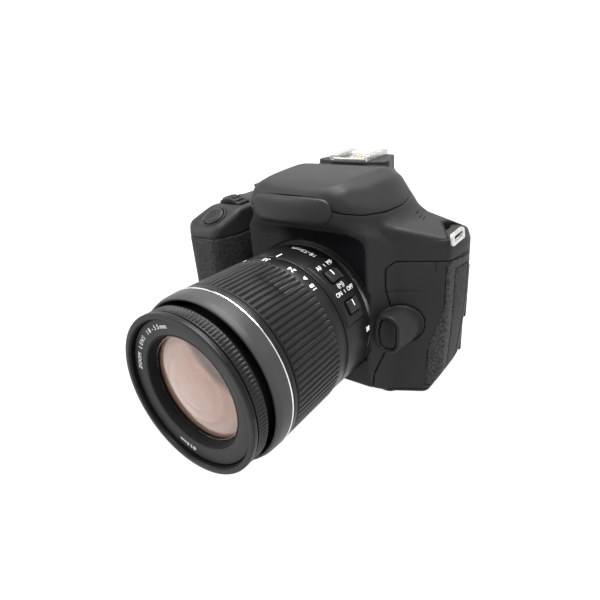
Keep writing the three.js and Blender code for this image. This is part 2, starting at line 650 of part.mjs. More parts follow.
function monitor() {
  const { x0, x1, z0, z1, y0, y1, hingeX, hingeY } = MONITOR;
  const panel = prism(rounded([[x0, z0, 3], [x1, z0, 3], [x1, z1, 3], [x0, z1, 3]]), "y", y0, y1);
  const screen = box(x0 + 6, x1 - 7, y1 - 0.8, y1 + 1, z0 + 6, z1 - 6);
  const barrel = rod([hingeX, hingeY, 0], [0, 0, 1], 2.3, 22, 50, 16);
  const neck = box(x1 - 1, hingeX, hingeY - 1.4, hingeY + 1.4, 22, 50);
  return panel.subtract(screen).add(barrel).add(neck);
}
function eyecup() {
  const outline = rounded([[19.2, 71.5, 6], [19.2, 91.5, 6], [-19.2, 91.5, 6], [-19.2, 71.5, 6]]);
  const lip = rounded([[17.8, 72.8, 5], [17.8, 90.2, 5], [-17.8, 90.2, 5], [-17.8, 72.8, 5]]);
  return prism(outline, "y", 17.4, 21.5)
    .add(prism(lip, "y", 21.4, 24.2))
    .subtract(box(-11, 11, 10, 30, 75.5, 87.5));
}
const diopterDial = () =>
  rod(DIOPTER.centre, [1, 0, 0], DIOPTER.radius, -DIOPTER.half, DIOPTER.half, 18);

// ---------------------------------------------------------------- doors, flaps and lugs
const DOOR_WALL = 1.6;
const DOOR_BACK = bodyForm(DOOR_WALL);
const cardDoor = () => OUTSIDE.subtract(DOOR_BACK).intersect(doorCutter(CARD_DOOR, 0));
const flap = (span) => OUTSIDE.subtract(DOOR_BACK).intersect(flapRegion(span, 0));
function batteryDoor() {
  const [x0, x1, y0, y1] = BATTERY_DOOR;
  return box(x0, x1, y0, y1, 0.3, 2).subtract(box(x0 + 2, x0 + 8, -31.4, -24.6, -1, 1.4));
}
const batteryLatch = () => box(BATTERY_DOOR[0] + 2.3, BATTERY_DOOR[0] + 5, -31, -25, 0.4, 1.2);
function lug({ x, y, z }) {
  const out = Math.sign(x);
  return box(x - 0.9, x + 0.9, y - 7.2, y + 7.2, z - 0.2, z + 4.6)
    .subtract(box(x - 3, x + 3, y - 5, y + 5, z + 1.5, z + 3.6))
    .translate([out * 0.6, 0, 0]);
}

// ---------------------------------------------------------------- lens
const BARREL_R = 33.3;
const ZOOM_Y = [-64, -109.2];
function lensBarrel() {
  const tube = turned([
    [28.8, -44.4],
    [32.2, -44.4],
    [32.5, -46.6],
    [BARREL_R, -50],
    [BARREL_R, -63.6],
    [30.4, -63.6],
    [30.4, -92],
    [28.8, -92],
  ]);
  const spigot = turned([
    [24.5, -39.2],
    [26.4, -39.2],
    [26.4, -44.4],
    [29.2, -44.4],
    [29.2, -48],
    [24.5, -48],
  ]);
  const panel = ring(32, 34.4, -63.5, -48.4).intersect(wedge(24, 77, -70, -40));
  const groove = ring(27.8, 31.4, -45.8, -44).intersect(wedge(PIN_DEG - 5, PIN_DEG + 66, -50, -40));
  return tube
    .add(spigot)
    .add(panel)
    .subtract(groove)
    .subtract(switchBlock(AF_SWITCH, SWITCH.half + GAP, [SWITCH.front - 0.4, SWITCH.rear], 33.2))
    .subtract(switchBlock(STABILIZER_SWITCH, SWITCH.half + GAP, [SWITCH.front - 0.4, SWITCH.rear], 33.2));
}
const AF_SWITCH = 40.5; // degrees from the top
const STABILIZER_SWITCH = 64;
const SWITCH = { half: 2.7, length: 7.2, front: -59.2, rear: -49.4 };
// A block on the switch panel, centred on an angle, with its foot at a radius.
function switchBlock(angleDeg, halfWidth, [y0, y1], foot, head = 40) {
  const geometry = new THREE.BoxGeometry(halfWidth * 2, y1 - y0, head - foot);
  geometry.translate(0, (y0 + y1) / 2, (foot + head) / 2);
  geometry.rotateY(THREE.MathUtils.degToRad(angleDeg));
  geometry.translate(0, 0, AXIS_Z);
  return solid(geometry);
}
const lensSwitch = (angleDeg) =>
  switchBlock(angleDeg, SWITCH.half, [SWITCH.front, SWITCH.front + SWITCH.length], 33.5, 35.8);

const zoomRing = () =>
  turned([
    [30.8, ZOOM_Y[0]],
    [33.2, ZOOM_Y[0]],
    [33.3, -70.5],
    [34.0, -97.4],
    [33.6, -98.2],
    [34.2, -99.4],
    [34.2, -101.6],
    [34.0, -107.4],
    [33.3, ZOOM_Y[1]],
    [32.4, ZOOM_Y[1]],
    [32.4, -102],
    [30.8, -102],
  ]);
const innerBarrel = () => ring(26.9, 28.4, -110.8, -64);
const helicoid = () => ring(25.4, 26.5, -110.8, -76);
const focusBarrel = () =>
  turned([
    [25.0, -88],
    [25.0, -111.6],
    [31.5, -111.6],
    [31.9, -112.2],
    [31.9, -116.4],
    [31.3, -116.8],
    [31.3, -117.3],
    [31.9, -117.7],
    [31.7, FRONT_Y],
    [29.7, FRONT_Y],
    [29.3, -116.4],
    [22.2, -115],
    [22.0, -105.2],
    [23.6, -105.2],
    [23.6, -88],
  ]);
// A convex lens element: a thin cylinder behind a shallow quarter-ellipse crown.
function lensElement(radius, rim, crown, y) {
  const points = [[0, y + rim]];
  const steps = 5;
  points.push([radius, y + rim]);
  for (let i = 0; i <= steps; i += 1) {
    const share = i / steps;
    points.push([radius * Math.cos((share * Math.PI) / 2), y - crown * Math.sin((share * Math.PI) / 2)]);
  }
  const geometry = new THREE.LatheGeometry(
    points.map(([r, v]) => new THREE.Vector2(Math.max(r, 0), v)),
    36,
  );
  geometry.translate(0, 0, AXIS_Z);
  return solid(geometry);
}
const frontElement = () => lensElement(21.6, 3, 3.4, -111.2);
const rearGroup = () => rod([0, 0, AXIS_Z], [0, 1, 0], 17, -60, -48, 32);

// ---------------------------------------------------------------- assembly
node("front_cover", frontCover(), PLASTIC);
node("left_panel", leftPanel(), PLASTIC);
node("rear_cover", rearCover(), PLASTIC);
node("top_cover", topCover(), PLASTIC);
node("base_cover", baseCover(), PLASTIC);
node("grip_rubber", gripRubber(), RUBBER);
node("side_rubber", sideRubber(), RUBBER);
node("tripod_socket", tripodSocket(), METAL);
node("mirror_box", mirrorBox(), DARK);
node("focusing_screen", focusingScreen(), GLASS);
node("pentamirror", pentamirror(), DARK);
node("shutter_unit", shutterUnit(), DARK);
node("shutter_curtain", shutterCurtain(), DARK);
node("image_sensor", imageSensor(), GLASS);
node("main_board", mainBoard(), BOARD);
node("battery", battery(), DARK);
node("reflex_mirror", reflexMirror(), METAL);
node("sub_mirror", subMirror(), METAL);
node("body_mount_ring", mountRing(), METAL);
node("lens_lock_pin", lockPin(), METAL);
node("lens_release_button", releaseButton(), BUTTON);
node("preview_button", previewButton(), BUTTON);
node("shutter_button", shutterButton(), BUTTON);
node("main_dial", mainDial(), BUTTON);
for (const [name, place] of Object.entries(TOP_BUTTONS)) node(name, topButton(place), BUTTON);
node("mode_dial", modeDial(), BUTTON);
node("power_lever", powerLever(), BUTTON);
node("hot_shoe", shoe(), METAL);
node("flash_head", flashHead(), PLASTIC);
for (const [name, place] of Object.entries(REAR_BUTTONS)) node(name, rearButton(place), BUTTON);
node("control_dial", controlDial(), BUTTON);
node("arrow_pad", arrowPad(), BUTTON);
node("set_button", setButton(), BUTTON);
node("monitor", monitor(), PLASTIC);
node("eyecup", eyecup(), RUBBER);
node("diopter_dial", diopterDial(), BUTTON);
node("card_door", cardDoor(), PLASTIC);
node("terminal_cover_front", flap(FLAPS.front), RUBBER);
node("terminal_cover_rear", flap(FLAPS.rear), RUBBER);
node("battery_door", batteryDoor(), PLASTIC);
node("battery_latch", batteryLatch(), BUTTON);
node("strap_lug_right", lug(LUGS.right), METAL);
node("strap_lug_left", lug(LUGS.left), METAL);
node("lens_barrel", lensBarrel(), PLASTIC);
node("af_switch", lensSwitch(AF_SWITCH), BUTTON);
node("stabilizer_switch", lensSwitch(STABILIZER_SWITCH), BUTTON);
node("zoom_ring", zoomRing(), RUBBER);
node("inner_barrel", innerBarrel(), PLASTIC);
node("helicoid", helicoid(), DARK);
node("focus_barrel", focusBarrel(), PLASTIC);
node("front_element", frontElement(), GLASS);
node("rear_lens_group", rearGroup(), DARK);

export default camera;
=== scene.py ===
"""A digital single-lens reflex camera with a zoom lens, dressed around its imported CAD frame.

Lengths are in millimetres until a mesh is made, in the CAD frame: +X is to the right of someone facing the
lens, +Y runs back into the camera, +Z is up. The covers are cut from one field, a signed distance,
negative inside the body, so that neighbouring pieces meet in even seams.
"""
import math

import bmesh
import bpy
import numpy as np
import openvdb
from mathutils import Matrix, Vector


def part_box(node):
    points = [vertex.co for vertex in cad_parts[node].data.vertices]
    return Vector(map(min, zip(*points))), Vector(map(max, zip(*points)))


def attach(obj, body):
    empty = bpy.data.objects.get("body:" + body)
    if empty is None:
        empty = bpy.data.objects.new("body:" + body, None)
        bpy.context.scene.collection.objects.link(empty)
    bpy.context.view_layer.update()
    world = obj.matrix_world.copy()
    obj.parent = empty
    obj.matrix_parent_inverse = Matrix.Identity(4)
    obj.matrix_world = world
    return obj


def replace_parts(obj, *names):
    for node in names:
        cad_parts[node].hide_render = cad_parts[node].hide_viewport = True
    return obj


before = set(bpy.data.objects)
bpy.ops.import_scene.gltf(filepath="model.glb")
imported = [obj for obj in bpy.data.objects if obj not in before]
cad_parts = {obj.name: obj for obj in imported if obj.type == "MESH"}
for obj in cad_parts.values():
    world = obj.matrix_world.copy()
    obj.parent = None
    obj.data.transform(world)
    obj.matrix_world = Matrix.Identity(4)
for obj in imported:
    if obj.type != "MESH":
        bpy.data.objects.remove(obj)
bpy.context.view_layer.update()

MM = 0.001
VOXEL = 0.42


# ------------------------------------------------------------------ sizes from the frame
def span(node):
    """Lowest and highest corners of a CAD node, in millimetres."""
    low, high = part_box(node)
    return np.array(low) / MM, np.array(high) / MM


def middle(node):
    low, high = span(node)
    return (low + high) / 2


AXIS_Z = middle("zoom_ring")[2]
LEFT_X = span("front_cover")[0][0]
RIGHT_X = span("front_cover")[1][0]
REAR_Y = span("base_cover")[1][1]
BODY_TOP = span("top_cover")[1][2]
WALL = 2.2
GAP = 0.25
SKIN = 1.1
SEAM_ROUND = 0.35
HAIRLINE = 0.12  # the gap where two covers meet along a crease


# ------------------------------------------------------------------ outlines and fields
def outline(corners, steps=6):
    """Points of a counter-clockwise polygon whose corners (a, b, radius) are rounded by arcs."""
    points = []
    count = len(corners)
    for i, (a, b, radius) in enumerate(corners):
        here = np.array((a, b), float)
        if radius == 0:
            points.append(here)
            continue
        before = np.array(corners[i - 1][:2]) - here
        after = np.array(corners[(i + 1) % count][:2]) - here
        before /= np.linalg.norm(before)
        after /= np.linalg.norm(after)
        half = math.acos(np.clip(before @ after, -1, 1)) / 2
        centre = here + (before + after) / np.linalg.norm(before + after) * radius / math.sin(half)
        start = here + before * radius / math.tan(half) - centre
        end = here + after * radius / math.tan(half) - centre
        first = math.atan2(start[1], start[0])
        turn = (math.atan2(end[1], end[0]) - first + math.pi) % (2 * math.pi) - math.pi
        for k in range(steps + 1):
            angle = first + turn * k / steps
            points.append(centre + radius * np.array((math.cos(angle), math.sin(angle))))
    return np.array(points)


def polygon(u, v, points):
    """Signed distance from (u, v) to a closed outline, negative inside."""
    nearest = np.float32(1e9)
    sign = np.float32(1)
    for (ax, ay), (bx, by) in zip(points, np.roll(points, -1, axis=0)):
        ex, ey = bx - ax, by - ay
        wx, wy = u - ax, v - ay
        along = np.clip((wx * ex + wy * ey) / max(ex * ex + ey * ey, 1e-9), 0, 1)
        nearest = np.minimum(nearest, (wx - ex * along) ** 2 + (wy - ey * along) ** 2)
        above = wy >= 0
        below = v < by
        left = ex * wy > ey * wx
        sign = np.where((above & below & left) | (~above & ~below & ~left), -sign, sign)
    return (sign * np.sqrt(nearest)).astype(np.float32)


def shape(u, v, corners):
    return polygon(u, v, outline(corners))


def meet(a, b, radius=0.0):
    """Where both fields are inside, with the new edge rounded."""
    if radius == 0:
        return np.maximum(a, b)
    corner = np.hypot(np.maximum(a + radius, 0), np.maximum(b + radius, 0))
    return np.minimum(np.maximum(a, b), -radius) + corner


def join(a, b, radius=0.0):
    """Where either field is inside, with the new inner corner filled by a fillet."""
    return -meet(-a, -b, radius)


def cut(a, b, radius=0.0):
    return meet(a, -b, radius)


def ease(value, low, high):
    """0 below low, 1 above high, smooth between."""
    t = np.clip((value - low) / (high - low), 0, 1)
    return t * t * (3 - 2 * t)


class Space:
    """A grid of sample points. Fields over it are arrays that broadcast to its shape."""

    def __init__(self, low, counts, step):
        self.low, self.counts, self.step = np.array(low, float), counts, step
        axes = [(self.low[i] + step * np.arange(counts[i])).astype(np.float32) for i in range(3)]
        self.x, self.y, self.z = np.meshgrid(*axes, indexing="ij", sparse=True)

    @classmethod
    def around(cls, low, high, step):
        counts = np.ceil((np.array(high) - np.array(low)) / step).astype(int) + 1
        return cls(low, counts, step)

    def block(self, x0, x1, y0, y1, z0, z1, radius=0.0):
        """An upright box."""
        along_x, along_y, along_z = [
            np.abs(v - (a + b) / 2) - (b - a) / 2
            for v, a, b in ((self.x, x0, x1), (self.y, y0, y1), (self.z, z0, z1))
        ]
        return meet(meet(along_x, along_y, radius), along_z, radius)

    def rod(self, centre, direction, radius, start, end, edge=0.0):
        """A round bar along a direction."""
        d = np.array(direction, float) / np.linalg.norm(direction)
        px, py, pz = self.x - centre[0], self.y - centre[1], self.z - centre[2]
        along = px * d[0] + py * d[1] + pz * d[2]
        away = np.sqrt(np.maximum(px * px + py * py + pz * pz - along * along, 0))
        return meet(away - radius, np.abs(along - (start + end) / 2) - (end - start) / 2, edge)

    def post(self, x, y, radius, low, high, edge=0.0):
        """An upright round bar."""
        return self.rod((x, y, 0), (0, 0, 1), radius, low, high, edge)

    def bore(self, x, z, radius, front, rear):
        """A round bar from front to rear."""
        return self.rod((x, 0, z), (0, 1, 0), radius, front, rear)


# ------------------------------------------------------------------ meshes
def ride(name, mesh, finish, body):
    """A mesh as a piece that rides on a body."""
    mesh.materials.clear()
    mesh.materials.append(finish.material)
    piece = bpy.data.objects.new(name, mesh)
    bpy.context.scene.collection.objects.link(piece)
    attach(piece, body)
    return piece


def dress(piece, node=None):
    """Hides the CAD node that a piece stands for, if one is given."""
    if node:
        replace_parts(piece, node)
    return piece


def add_object(name, vertices, faces, finish, body):
    """A smooth piece from vertices in millimetres and from arrays of faces."""
    mesh = bpy.data.meshes.new(name)
    mesh.vertices.add(len(vertices))
    mesh.vertices.foreach_set("co", (vertices * MM).astype(np.float32).ravel())
    sizes = np.concatenate([np.full(len(f), f.shape[1], np.int32) for f in faces])
    corners = np.concatenate([f.ravel() for f in faces]).astype(np.int32)
    mesh.loops.add(len(corners))
    mesh.loops.foreach_set("vertex_index", corners)
    mesh.polygons.add(len(sizes))
    mesh.polygons.foreach_set("loop_start", (np.cumsum(sizes) - sizes).astype(np.int32))
    mesh.update(calc_edges=True)
    mesh.polygons.foreach_set("use_smooth", [True] * len(mesh.polygons))
    mesh.validate()
    return ride(name, mesh, finish, body)


def skin(name, space, field, finish, body="body", adaptivity=0.01, place=None):
    """The surface of a field, as a piece. place moves its vertices."""
    values = np.broadcast_to(field, tuple(space.counts))
    values = np.ascontiguousarray(np.clip(values / space.step, -3, 3), dtype=np.float32)
    values = np.pad(values, 1, constant_values=3)
    grid = openvdb.FloatGrid(3.0)
    grid.copyFromArray(values)
    points, triangles, quads = grid.convertToPolygons(isovalue=0.0, adaptivity=adaptivity)
    faces = [f.astype(np.int64) for f in (quads, triangles) if len(f)]
    vertices = (points - 1) * space.step + space.low
    return add_object(name, place(vertices) if place else vertices, faces, finish, body)


def unit(vector):
    vector = np.array(vector, float)
    return vector / np.linalg.norm(vector)


def spun(name, centre, direction, profile, finish, body, sides=64, ripple=None, steps=3):
    """A closed outline of (radius, height, rounding) corners turned about a line."""
    points = outline(profile, steps)
    axis = unit(direction)
    upright = (0, 1, 0) if abs(axis[2]) > 0.9 else (0, 0, 1)
    across = unit(np.array(upright) - axis * (axis @ np.array(upright)))
    beside = np.cross(axis, across)
    angles = np.arange(sides)[:, None] * 2 * math.pi / sides
    radius = np.repeat(points[None, :, 0], sides, axis=0)
    height = np.repeat(points[None, :, 1], sides, axis=0)
    if ripple:
        radius = radius + ripple(np.degrees(angles), radius, height)
    radius = np.maximum(radius, 0)
    vertices = np.array(centre, float) + height[..., None] * axis
    vertices = vertices + (radius * np.cos(angles))[..., None] * across
    vertices = vertices + (radius * np.sin(angles))[..., None] * beside
    count = len(points)
    i, j = np.meshgrid(np.arange(sides), np.arange(count), indexing="ij")
    k, m = (i + 1) % sides, (j + 1) % count
    faces = np.stack([i * count + j, k * count + j, k * count + m, i * count + m], axis=2).reshape(-1, 4)
    piece = add_object(name, vertices.reshape(-1, 3), [faces], finish, body)
    if points[:, 0].min() < 1e-6:
        weld(piece)
    return piece


def weld(piece):
    """Joins the vertices that meet on an axis and drops the faces that this closes up."""
    grid = bmesh.new()
    grid.from_mesh(piece.data)
    bmesh.ops.remove_doubles(grid, verts=grid.verts, dist=1e-6)
    bmesh.ops.dissolve_degenerate(grid, edges=grid.edges, dist=1e-7)
    grid.to_mesh(piece.data)
    grid.free()


def lathe(name, profile, finish, body, sides=240, ripple=None):
    """A closed outline of (radius, y, rounding) corners turned about the optical axis."""
    return spun(name, (0, 0, AXIS_Z), (0, 1, 0), profile, finish, body, sides, ripple)


def cut_piece(name, low, high, make, finish, body, slot_name, step=0.3, node=None, margin=1.0, place=None):
    """A small piece shaped as a field of its own."""
    space = Space.around(np.array(low) - margin, np.array(high) + margin, step * (1))
    piece = skin(name, space, make(space), finish, body, 0.0, place)
    return dress(piece, node)


def letters(name, text, height, place, body):
    """Thin raised white characters. place turns their flat points into places on the part."""
    curve = bpy.data.curves.new(name, "FONT")
    curve.body = text
    curve.size = height * 1.4
    curve.extrude = 0.04
    curve.align_x = "CENTER"
    curve.align_y = "CENTER"
    curve.resolution_u = 3
    loose = bpy.data.objects.new(name + "_curve", curve)
    bpy.context.scene.collection.objects.link(loose)
    bpy.context.view_layer.update()
    mesh = bpy.data.meshes.new_from_object(loose.evaluated_get(bpy.context.evaluated_depsgraph_get()))
    bpy.data.objects.remove(loose)
    bpy.data.curves.remove(curve)
    mesh.name = name
    points = np.array([v.co for v in mesh.vertices])
    mesh.vertices.foreach_set("co", (place(points) * MM).astype(np.float32).ravel())
    mesh.update()
    return dress(ride(name, mesh, MARK, body))


def engrave(name, text, height, centre, right, up, body, lift=0.03):
    """Flat raised characters, reading along right with their tops towards up."""
    right, up = unit(right), unit(up)
    out = np.cross(right, up)
    letters(name, text, height, lambda flat: (
        np.array(centre) + flat[:, :1] * right + flat[:, 1:2] * up + (flat[:, 2:] + lift) * out
    ), body)


# ------------------------------------------------------------------ the form of the body
PLAN = [
    (RIGHT_X + 1.2, -6, 12),
    (54, REAR_Y, 6),
    (-64, REAR_Y, 8),
    (LEFT_X, 6, 8),
    (LEFT_X, -22, 3),
    (-34, -25, 3),
    (27.5, -25, 2),
    (31, -35, 4),
    (38, -31, 12),
    (56.6, -21.5, 3),
]
FACE = [
    (-67, 0, 4),
    (50, 0, 3),
    (56, 11, 12),
    (RIGHT_X, 45, 24),
    (RIGHT_X, 69, 5),
    (56.5, 74.5, 4),
    (35, 80.5, 10),
    (-35, 82.5, 4),
    (-62, 82.5, 7),
    (LEFT_X, 71, 8),
    (LEFT_X, 8, 9),
]
HOUSING_PLAN = [(38, -20, 3), (-33.2, -20, 3), (-33.2, -42, 2.6), (30.4, -42, 1.6), (36.5, -31.5, 6)]
HOUSING_SIDE = [(-10, 0, 1), (-10, 84, 1), (-50, 84, 1), (-50, 7, 1), (-42, 7, 3), (-31, 0, 3)]
GRIP_PLAN = [(-43, -14, 5), (LEFT_X, -14, 5), (LEFT_X, -42.5, 9), (-62.5, -52.5, 7), (-47, -51, 7),
    (-42, -38, 6)]
GRIP_FOOT = 7
GRIP_TOP = [(0, -1, 1), (0, 82.5, 1), (-35, 82.5, 8), (-49, 74.8, 9), (-52.6, 70, 4), (-54, 60, 10),
    (-50, -1, 1)]
HUMP = {  # distance along Y: half of the front view, from the foot up
    -52.4: [(16, 84.2, 4), (20.4, 90, 4), (19.4, 93.4, 3), (15.2, 95.6, 3)],
    -48: [(21, 82, 4), (25, 89.7, 5), (20.8, 95.9, 4), (16.8, 97.4, 2)],
    -43: [(26, 78, 4), (28.4, 88.7, 7), (23, 96.5, 5), (18.6, 98.6, 1.6)],
    -34: [(31, 73, 4), (31.4, 87.3, 9), (25.6, 96, 6), (19.6, 99.3, 1.6)],
    -20: [(35, 71, 3), (33.8, 86.2, 10), (27.6, 96.2, 6), (21, 99.5, 1.8)],
    -9: [(37, 71, 2), (34, 85, 10), (27.2, 95.6, 6), (21.6, 99, 2)],
    -1: [(36.6, 71, 2), (32.4, 84, 10), (25, 93.6, 5), (19.4, 97.4, 3)],
    8: [(31, 71, 2), (28, 82, 8), (21.4, 91.8, 5), (15.2, 96, 3)],
    18: [(23, 71, 2), (22, 80, 4), (17, 88, 5), (12, 94.2, 4)],
}


def hump_field(s):
    """Front views of the hump, run smoothly into one another along Y."""
    places = sorted(HUMP)
    views = []
    for place in places:
        half = HUMP[place]
        whole = half + [(-a, b, r) for a, b, r in reversed(half)]
        views.append(shape(s.x, s.z, whole))
    y = s.y.ravel()
    rows = np.zeros((s.counts[0], len(y), s.counts[2]), np.float32)
    for j, value in enumerate(np.clip(y, places[0], places[-1])):
        i = int(np.clip(np.searchsorted(places, value, side="right") - 1, 0, len(places) - 2))
        t = (value - places[i]) / (places[i + 1] - places[i])
        before, after = max(i - 1, 0), min(i + 2, len(places) - 1)
        # Catmull-Rom weights for uneven spacing
        step = places[i + 1] - places[i]
        m0 = step / (places[i + 1] - places[before])
        m1 = step / (places[after] - places[i])
        h00, h10 = 2 * t**3 - 3 * t**2 + 1, t**3 - 2 * t**2 + t
        h01, h11 = -2 * t**3 + 3 * t**2, t**3 - t**2
        row = h00 * views[i] + h01 * views[i + 1]
        row = row + h10 * m0 * (views[i + 1] - views[before]) + h11 * m1 * (views[after] - views[i])
        rows[:, j, :] = row[:, 0, :]
    ends = np.maximum(places[0] - s.y, s.y - (places[-1] - 1))
    # The nose is drawn back at its sides and leans back towards its top.
    nose = -52.4 + (s.x / 62) ** 2 * 62 * 0.5 + np.maximum(s.z - 90, 0) ** 2 * 0.05
    return meet(meet(rows, np.maximum(ends, nose - s.y), 2.0), s.z - BODY_TOP - 0.4, 0.6)


def drawn_in(s):
    """How far the front view is drawn in towards the back: most at the shoulder, least over the grip."""
    slope = 0.0155 * np.maximum(s.y + 6, 0) ** 2
    rise = np.clip(s.z / 20, 0, 1) + 0.8 * np.clip((s.z - 45) / 25, 0, 1)
    over_grip = np.clip(-s.x / 30, 0, 1)
    return slope * (rise * (1 - over_grip) + 0.5 * np.clip(s.z / 20, 0, 1) * over_grip)


def body_field(s):
    face = shape(s.x, s.z, FACE)
    block = meet(shape(s.x, s.y, PLAN), face + drawn_in(s), 2.2)
    housing = meet(shape(s.x, s.y, HOUSING_PLAN), shape(s.y, s.z, HOUSING_SIDE), 1.0)
    arch = meet(housing, s.z - 80.6 + np.maximum(np.abs(s.x) - 24, 0) ** 2 * 0.05, 1.5)
    foot = np.maximum(GRIP_FOOT - s.z, 0) ** 2 * 0.04
    grip = meet(shape(s.x, s.y, GRIP_PLAN) + foot, meet(shape(s.y, s.z, GRIP_TOP), face, 2.0), 2.5)
    whole = join(join(block, arch, 1.2), grip, 3.0)
    whole = join(whole, hump_field(s), 5.0)
    return np.maximum(whole, -s.z).astype(np.float32)


WHOLE = Space.around((-75, -56, -2), (63, 20, 104), VOXEL)
BODY_FIELD = body_field(WHOLE)


def near(low, high):
    """The part of the body's grid that covers a box, with the body's field in it as .body."""
    first = np.maximum(np.floor((np.array(low) - WHOLE.low) / VOXEL).astype(int) - 2, 0)
    last = np.minimum(np.ceil((np.array(high) - WHOLE.low) / VOXEL).astype(int) + 3, WHOLE.counts)
    space = Space(WHOLE.low + first * VOXEL, last - first, VOXEL)
    space.body = BODY_FIELD[tuple(slice(a, b) for a, b in zip(first, last))]
    return space


# ------------------------------------------------------------------ where the covers part
FLASH_REAR_Y = span("flash_head")[1][1]
BASE_TOP = span("base_cover")[1][2]
REAR_SEAM_Z = 70.3
TOP_SEAM = [
    (-90, 70.3, 0.1), (-33.4, 70.3, 0.1), (-33.4, 80.4, 0.1), (31.4, 80.4, 0.1), (36, 74.2, 1),
    (90, 74.2, 0.1),
    (90, 130, 1), (-90, 130, 1),
]
PANEL = [
    (30.4, 2, 0), (90, 2, 0), (90, 65.3, 0), (37, 65.3, 2.2), (34.3, 62.6, 2.2),
    (34.3, 53, 3), (35.4, 46, 3), (35.4, 27, 3), (31.4, 14, 6),
]
FLASH_SIDE = [
    (-70, 95, 0.2), (-50.4, 94.9, 1.4), (-49.2, 88.8, 3), (-41, 86.7, 8), (-29, 85.4, 12), (-17, 85.6, 10),
    (FLASH_REAR_Y, 87, 0.2), (FLASH_REAR_Y, 120, 1), (-70, 120, 1),
]
GRIP_SKIN = [(-62, 4.5, 1), (-8, 4.5, 4), (-11, 30, 10), (-9, 69.6, 1), (-62, 69.6, 1)]
SIDE_SKIN = [
    (-21.3, 64.6, 1.5), (-21.5, 44, 8), (-24.2, 26, 8), (-24.6, 4.5, 1), (9, 6, 4), (11, 40, 10), (8, 63, 4),
]
SEAM_Y = 0.0
SIDE_X = 45  # the side coverings and doors lie outside this


# ------------------------------------------------------------------ materials
class Finish:
    """A material, with its node tree and its principled shader."""

    def __init__(self, name, colour, roughness, metallic=0.0, coat=0.0):
        self.material = bpy.data.materials.new(name)
        self.material.use_nodes = True
        self.tree = self.material.node_tree
        self.surface = self.tree.nodes["Principled BSDF"]
        self.where = self.add("TexCoord").outputs["Object"]
        self.feed(self.surface, {
            "Base Color": (*colour, 1), "Roughness": roughness, "Metallic": metallic, "Coat Weight": coat,
            "Specular IOR Level": 0.2,
        })

    def feed(self, node, inputs):
        """Sets a node's sockets to constants, or links them to other nodes."""
        for socket, value in inputs.items():
            if isinstance(value, bpy.types.NodeSocket):
                self.tree.links.new(value, node.inputs[socket])
            else:
                node.inputs[socket].default_value = value

    def add(self, kind, inputs=None, **settings):
        node = self.tree.nodes.new("ShaderNode" + kind)
        for key, value in settings.items():
            setattr(node, key, value)
        self.feed(node, inputs or {})
        return node

    def noise(self, per_mm, detail, roughness=0.5):
        """Noise whose grains number about per_mm to a millimetre."""
        inputs = {"Vector": self.where, "Scale": per_mm / MM, "Detail": detail, "Roughness": roughness}
        return self.add("TexNoise", inputs).outputs["Fac"]

    def smooth_step(self, value, zero, one):
        inputs = {"Value": value, "From Min": zero, "From Max": one}
        return self.add("MapRange", inputs, interpolation_type="SMOOTHSTEP").outputs["Result"]

    def colour(self, value, dark, light):
        """The surface's colour, from dark to light as a value rises."""
        ramp = self.add("ValToRGB", {"Fac": value})
        for element, position, shade in zip(ramp.color_ramp.elements, (0.3, 0.72), (dark, light)):
            element.position = position
            element.color = (*shade, 1)
        self.feed(self.surface, {"Base Color": ramp.outputs["Color"]})

    def gloss(self, value, low, high):
        """The surface's roughness, from low to high as a value rises."""
        inputs = {"Value": value, "From Min": 0.3, "From Max": 0.7, "To Min": low, "To Max": high}
        self.feed(self.surface, {"Roughness": self.add("MapRange", inputs).outputs["Result"]})

    def relief(self, height, depth):
        """A bump of a depth in millimetres."""
        bump = self.add("Bump", {"Strength": 1.0, "Distance": depth * MM, "Height": height})
        self.feed(self.surface, {"Normal": bump.outputs["Normal"]})


def grained(name, dark, light, roughness, grain=3.0, depth=0.02, metallic=0.0, patches=0.05):
    """Moulded or brushed stuff: fine even grain, with faint patches of handling in colour and gloss."""
    finish = Finish(name, light, roughness, metallic)
    broad = finish.noise(patches, 4.0)
    finish.colour(broad, dark, light)
    finish.gloss(broad, roughness - 0.05, roughness + 0.06)
    finish.relief(finish.noise(grain, 2.0, 0.6), depth)
    return finish


def pebbled(name, dark, light, roughness, cell=0.95, depth=0.22):
    """Leather-grain rubber: rounded pebbles of uneven size parted by creases."""
    finish = Finish(name, light, roughness)
    warp = finish.add("TexNoise", {"Vector": finish.where, "Scale": 0.5 / MM}).outputs["Color"]
    warped = finish.add("VectorMath", {0: warp, 1: (0.9 * MM,) * 3, 2: finish.where},
        operation="MULTIPLY_ADD")
    scale = 1 / (cell * MM)
    cells = finish.add("TexVoronoi", {"Vector": warped.outputs["Vector"], "Scale": scale}, feature="F1")
    dome = finish.add("Math", {0: 1.0, 1: cells.outputs["Distance"]}, operation="SUBTRACT").outputs["Value"]
    # the colour follows the pebbles' height: painted shade darkens the creases and the tops are lighter
    finish.colour(dome, dark, light)
    finish.relief(dome, depth)
    return finish


def painted_shade_gradient(name, dark, light, roughness, shade_darkest_at, shade_ends_at):
    """Moulded plastic with painted shade: the body's grey on the left, darkening along the body's X to
    near-black where the nose shades it.
    """
    finish = grained(name, dark, light, roughness, grain=2.6, depth=0.05)
    finish.feed(finish.surface, {"Specular IOR Level": 0.05})
    x = finish.add("SeparateXYZ", {"Vector": finish.where}).outputs["X"]
    finish.colour(finish.smooth_step(x, shade_darkest_at, shade_ends_at), dark, light)
    return finish


def glossy(name, dark, light, roughness, coat=0.0):
    """Smooth stuff with faint wiping marks."""
    finish = Finish(name, light, roughness, coat=coat)
    broad = finish.noise(0.12, 5.0)
    finish.colour(broad, dark, light)
    finish.gloss(broad, roughness, roughness + 0.05)
    return finish


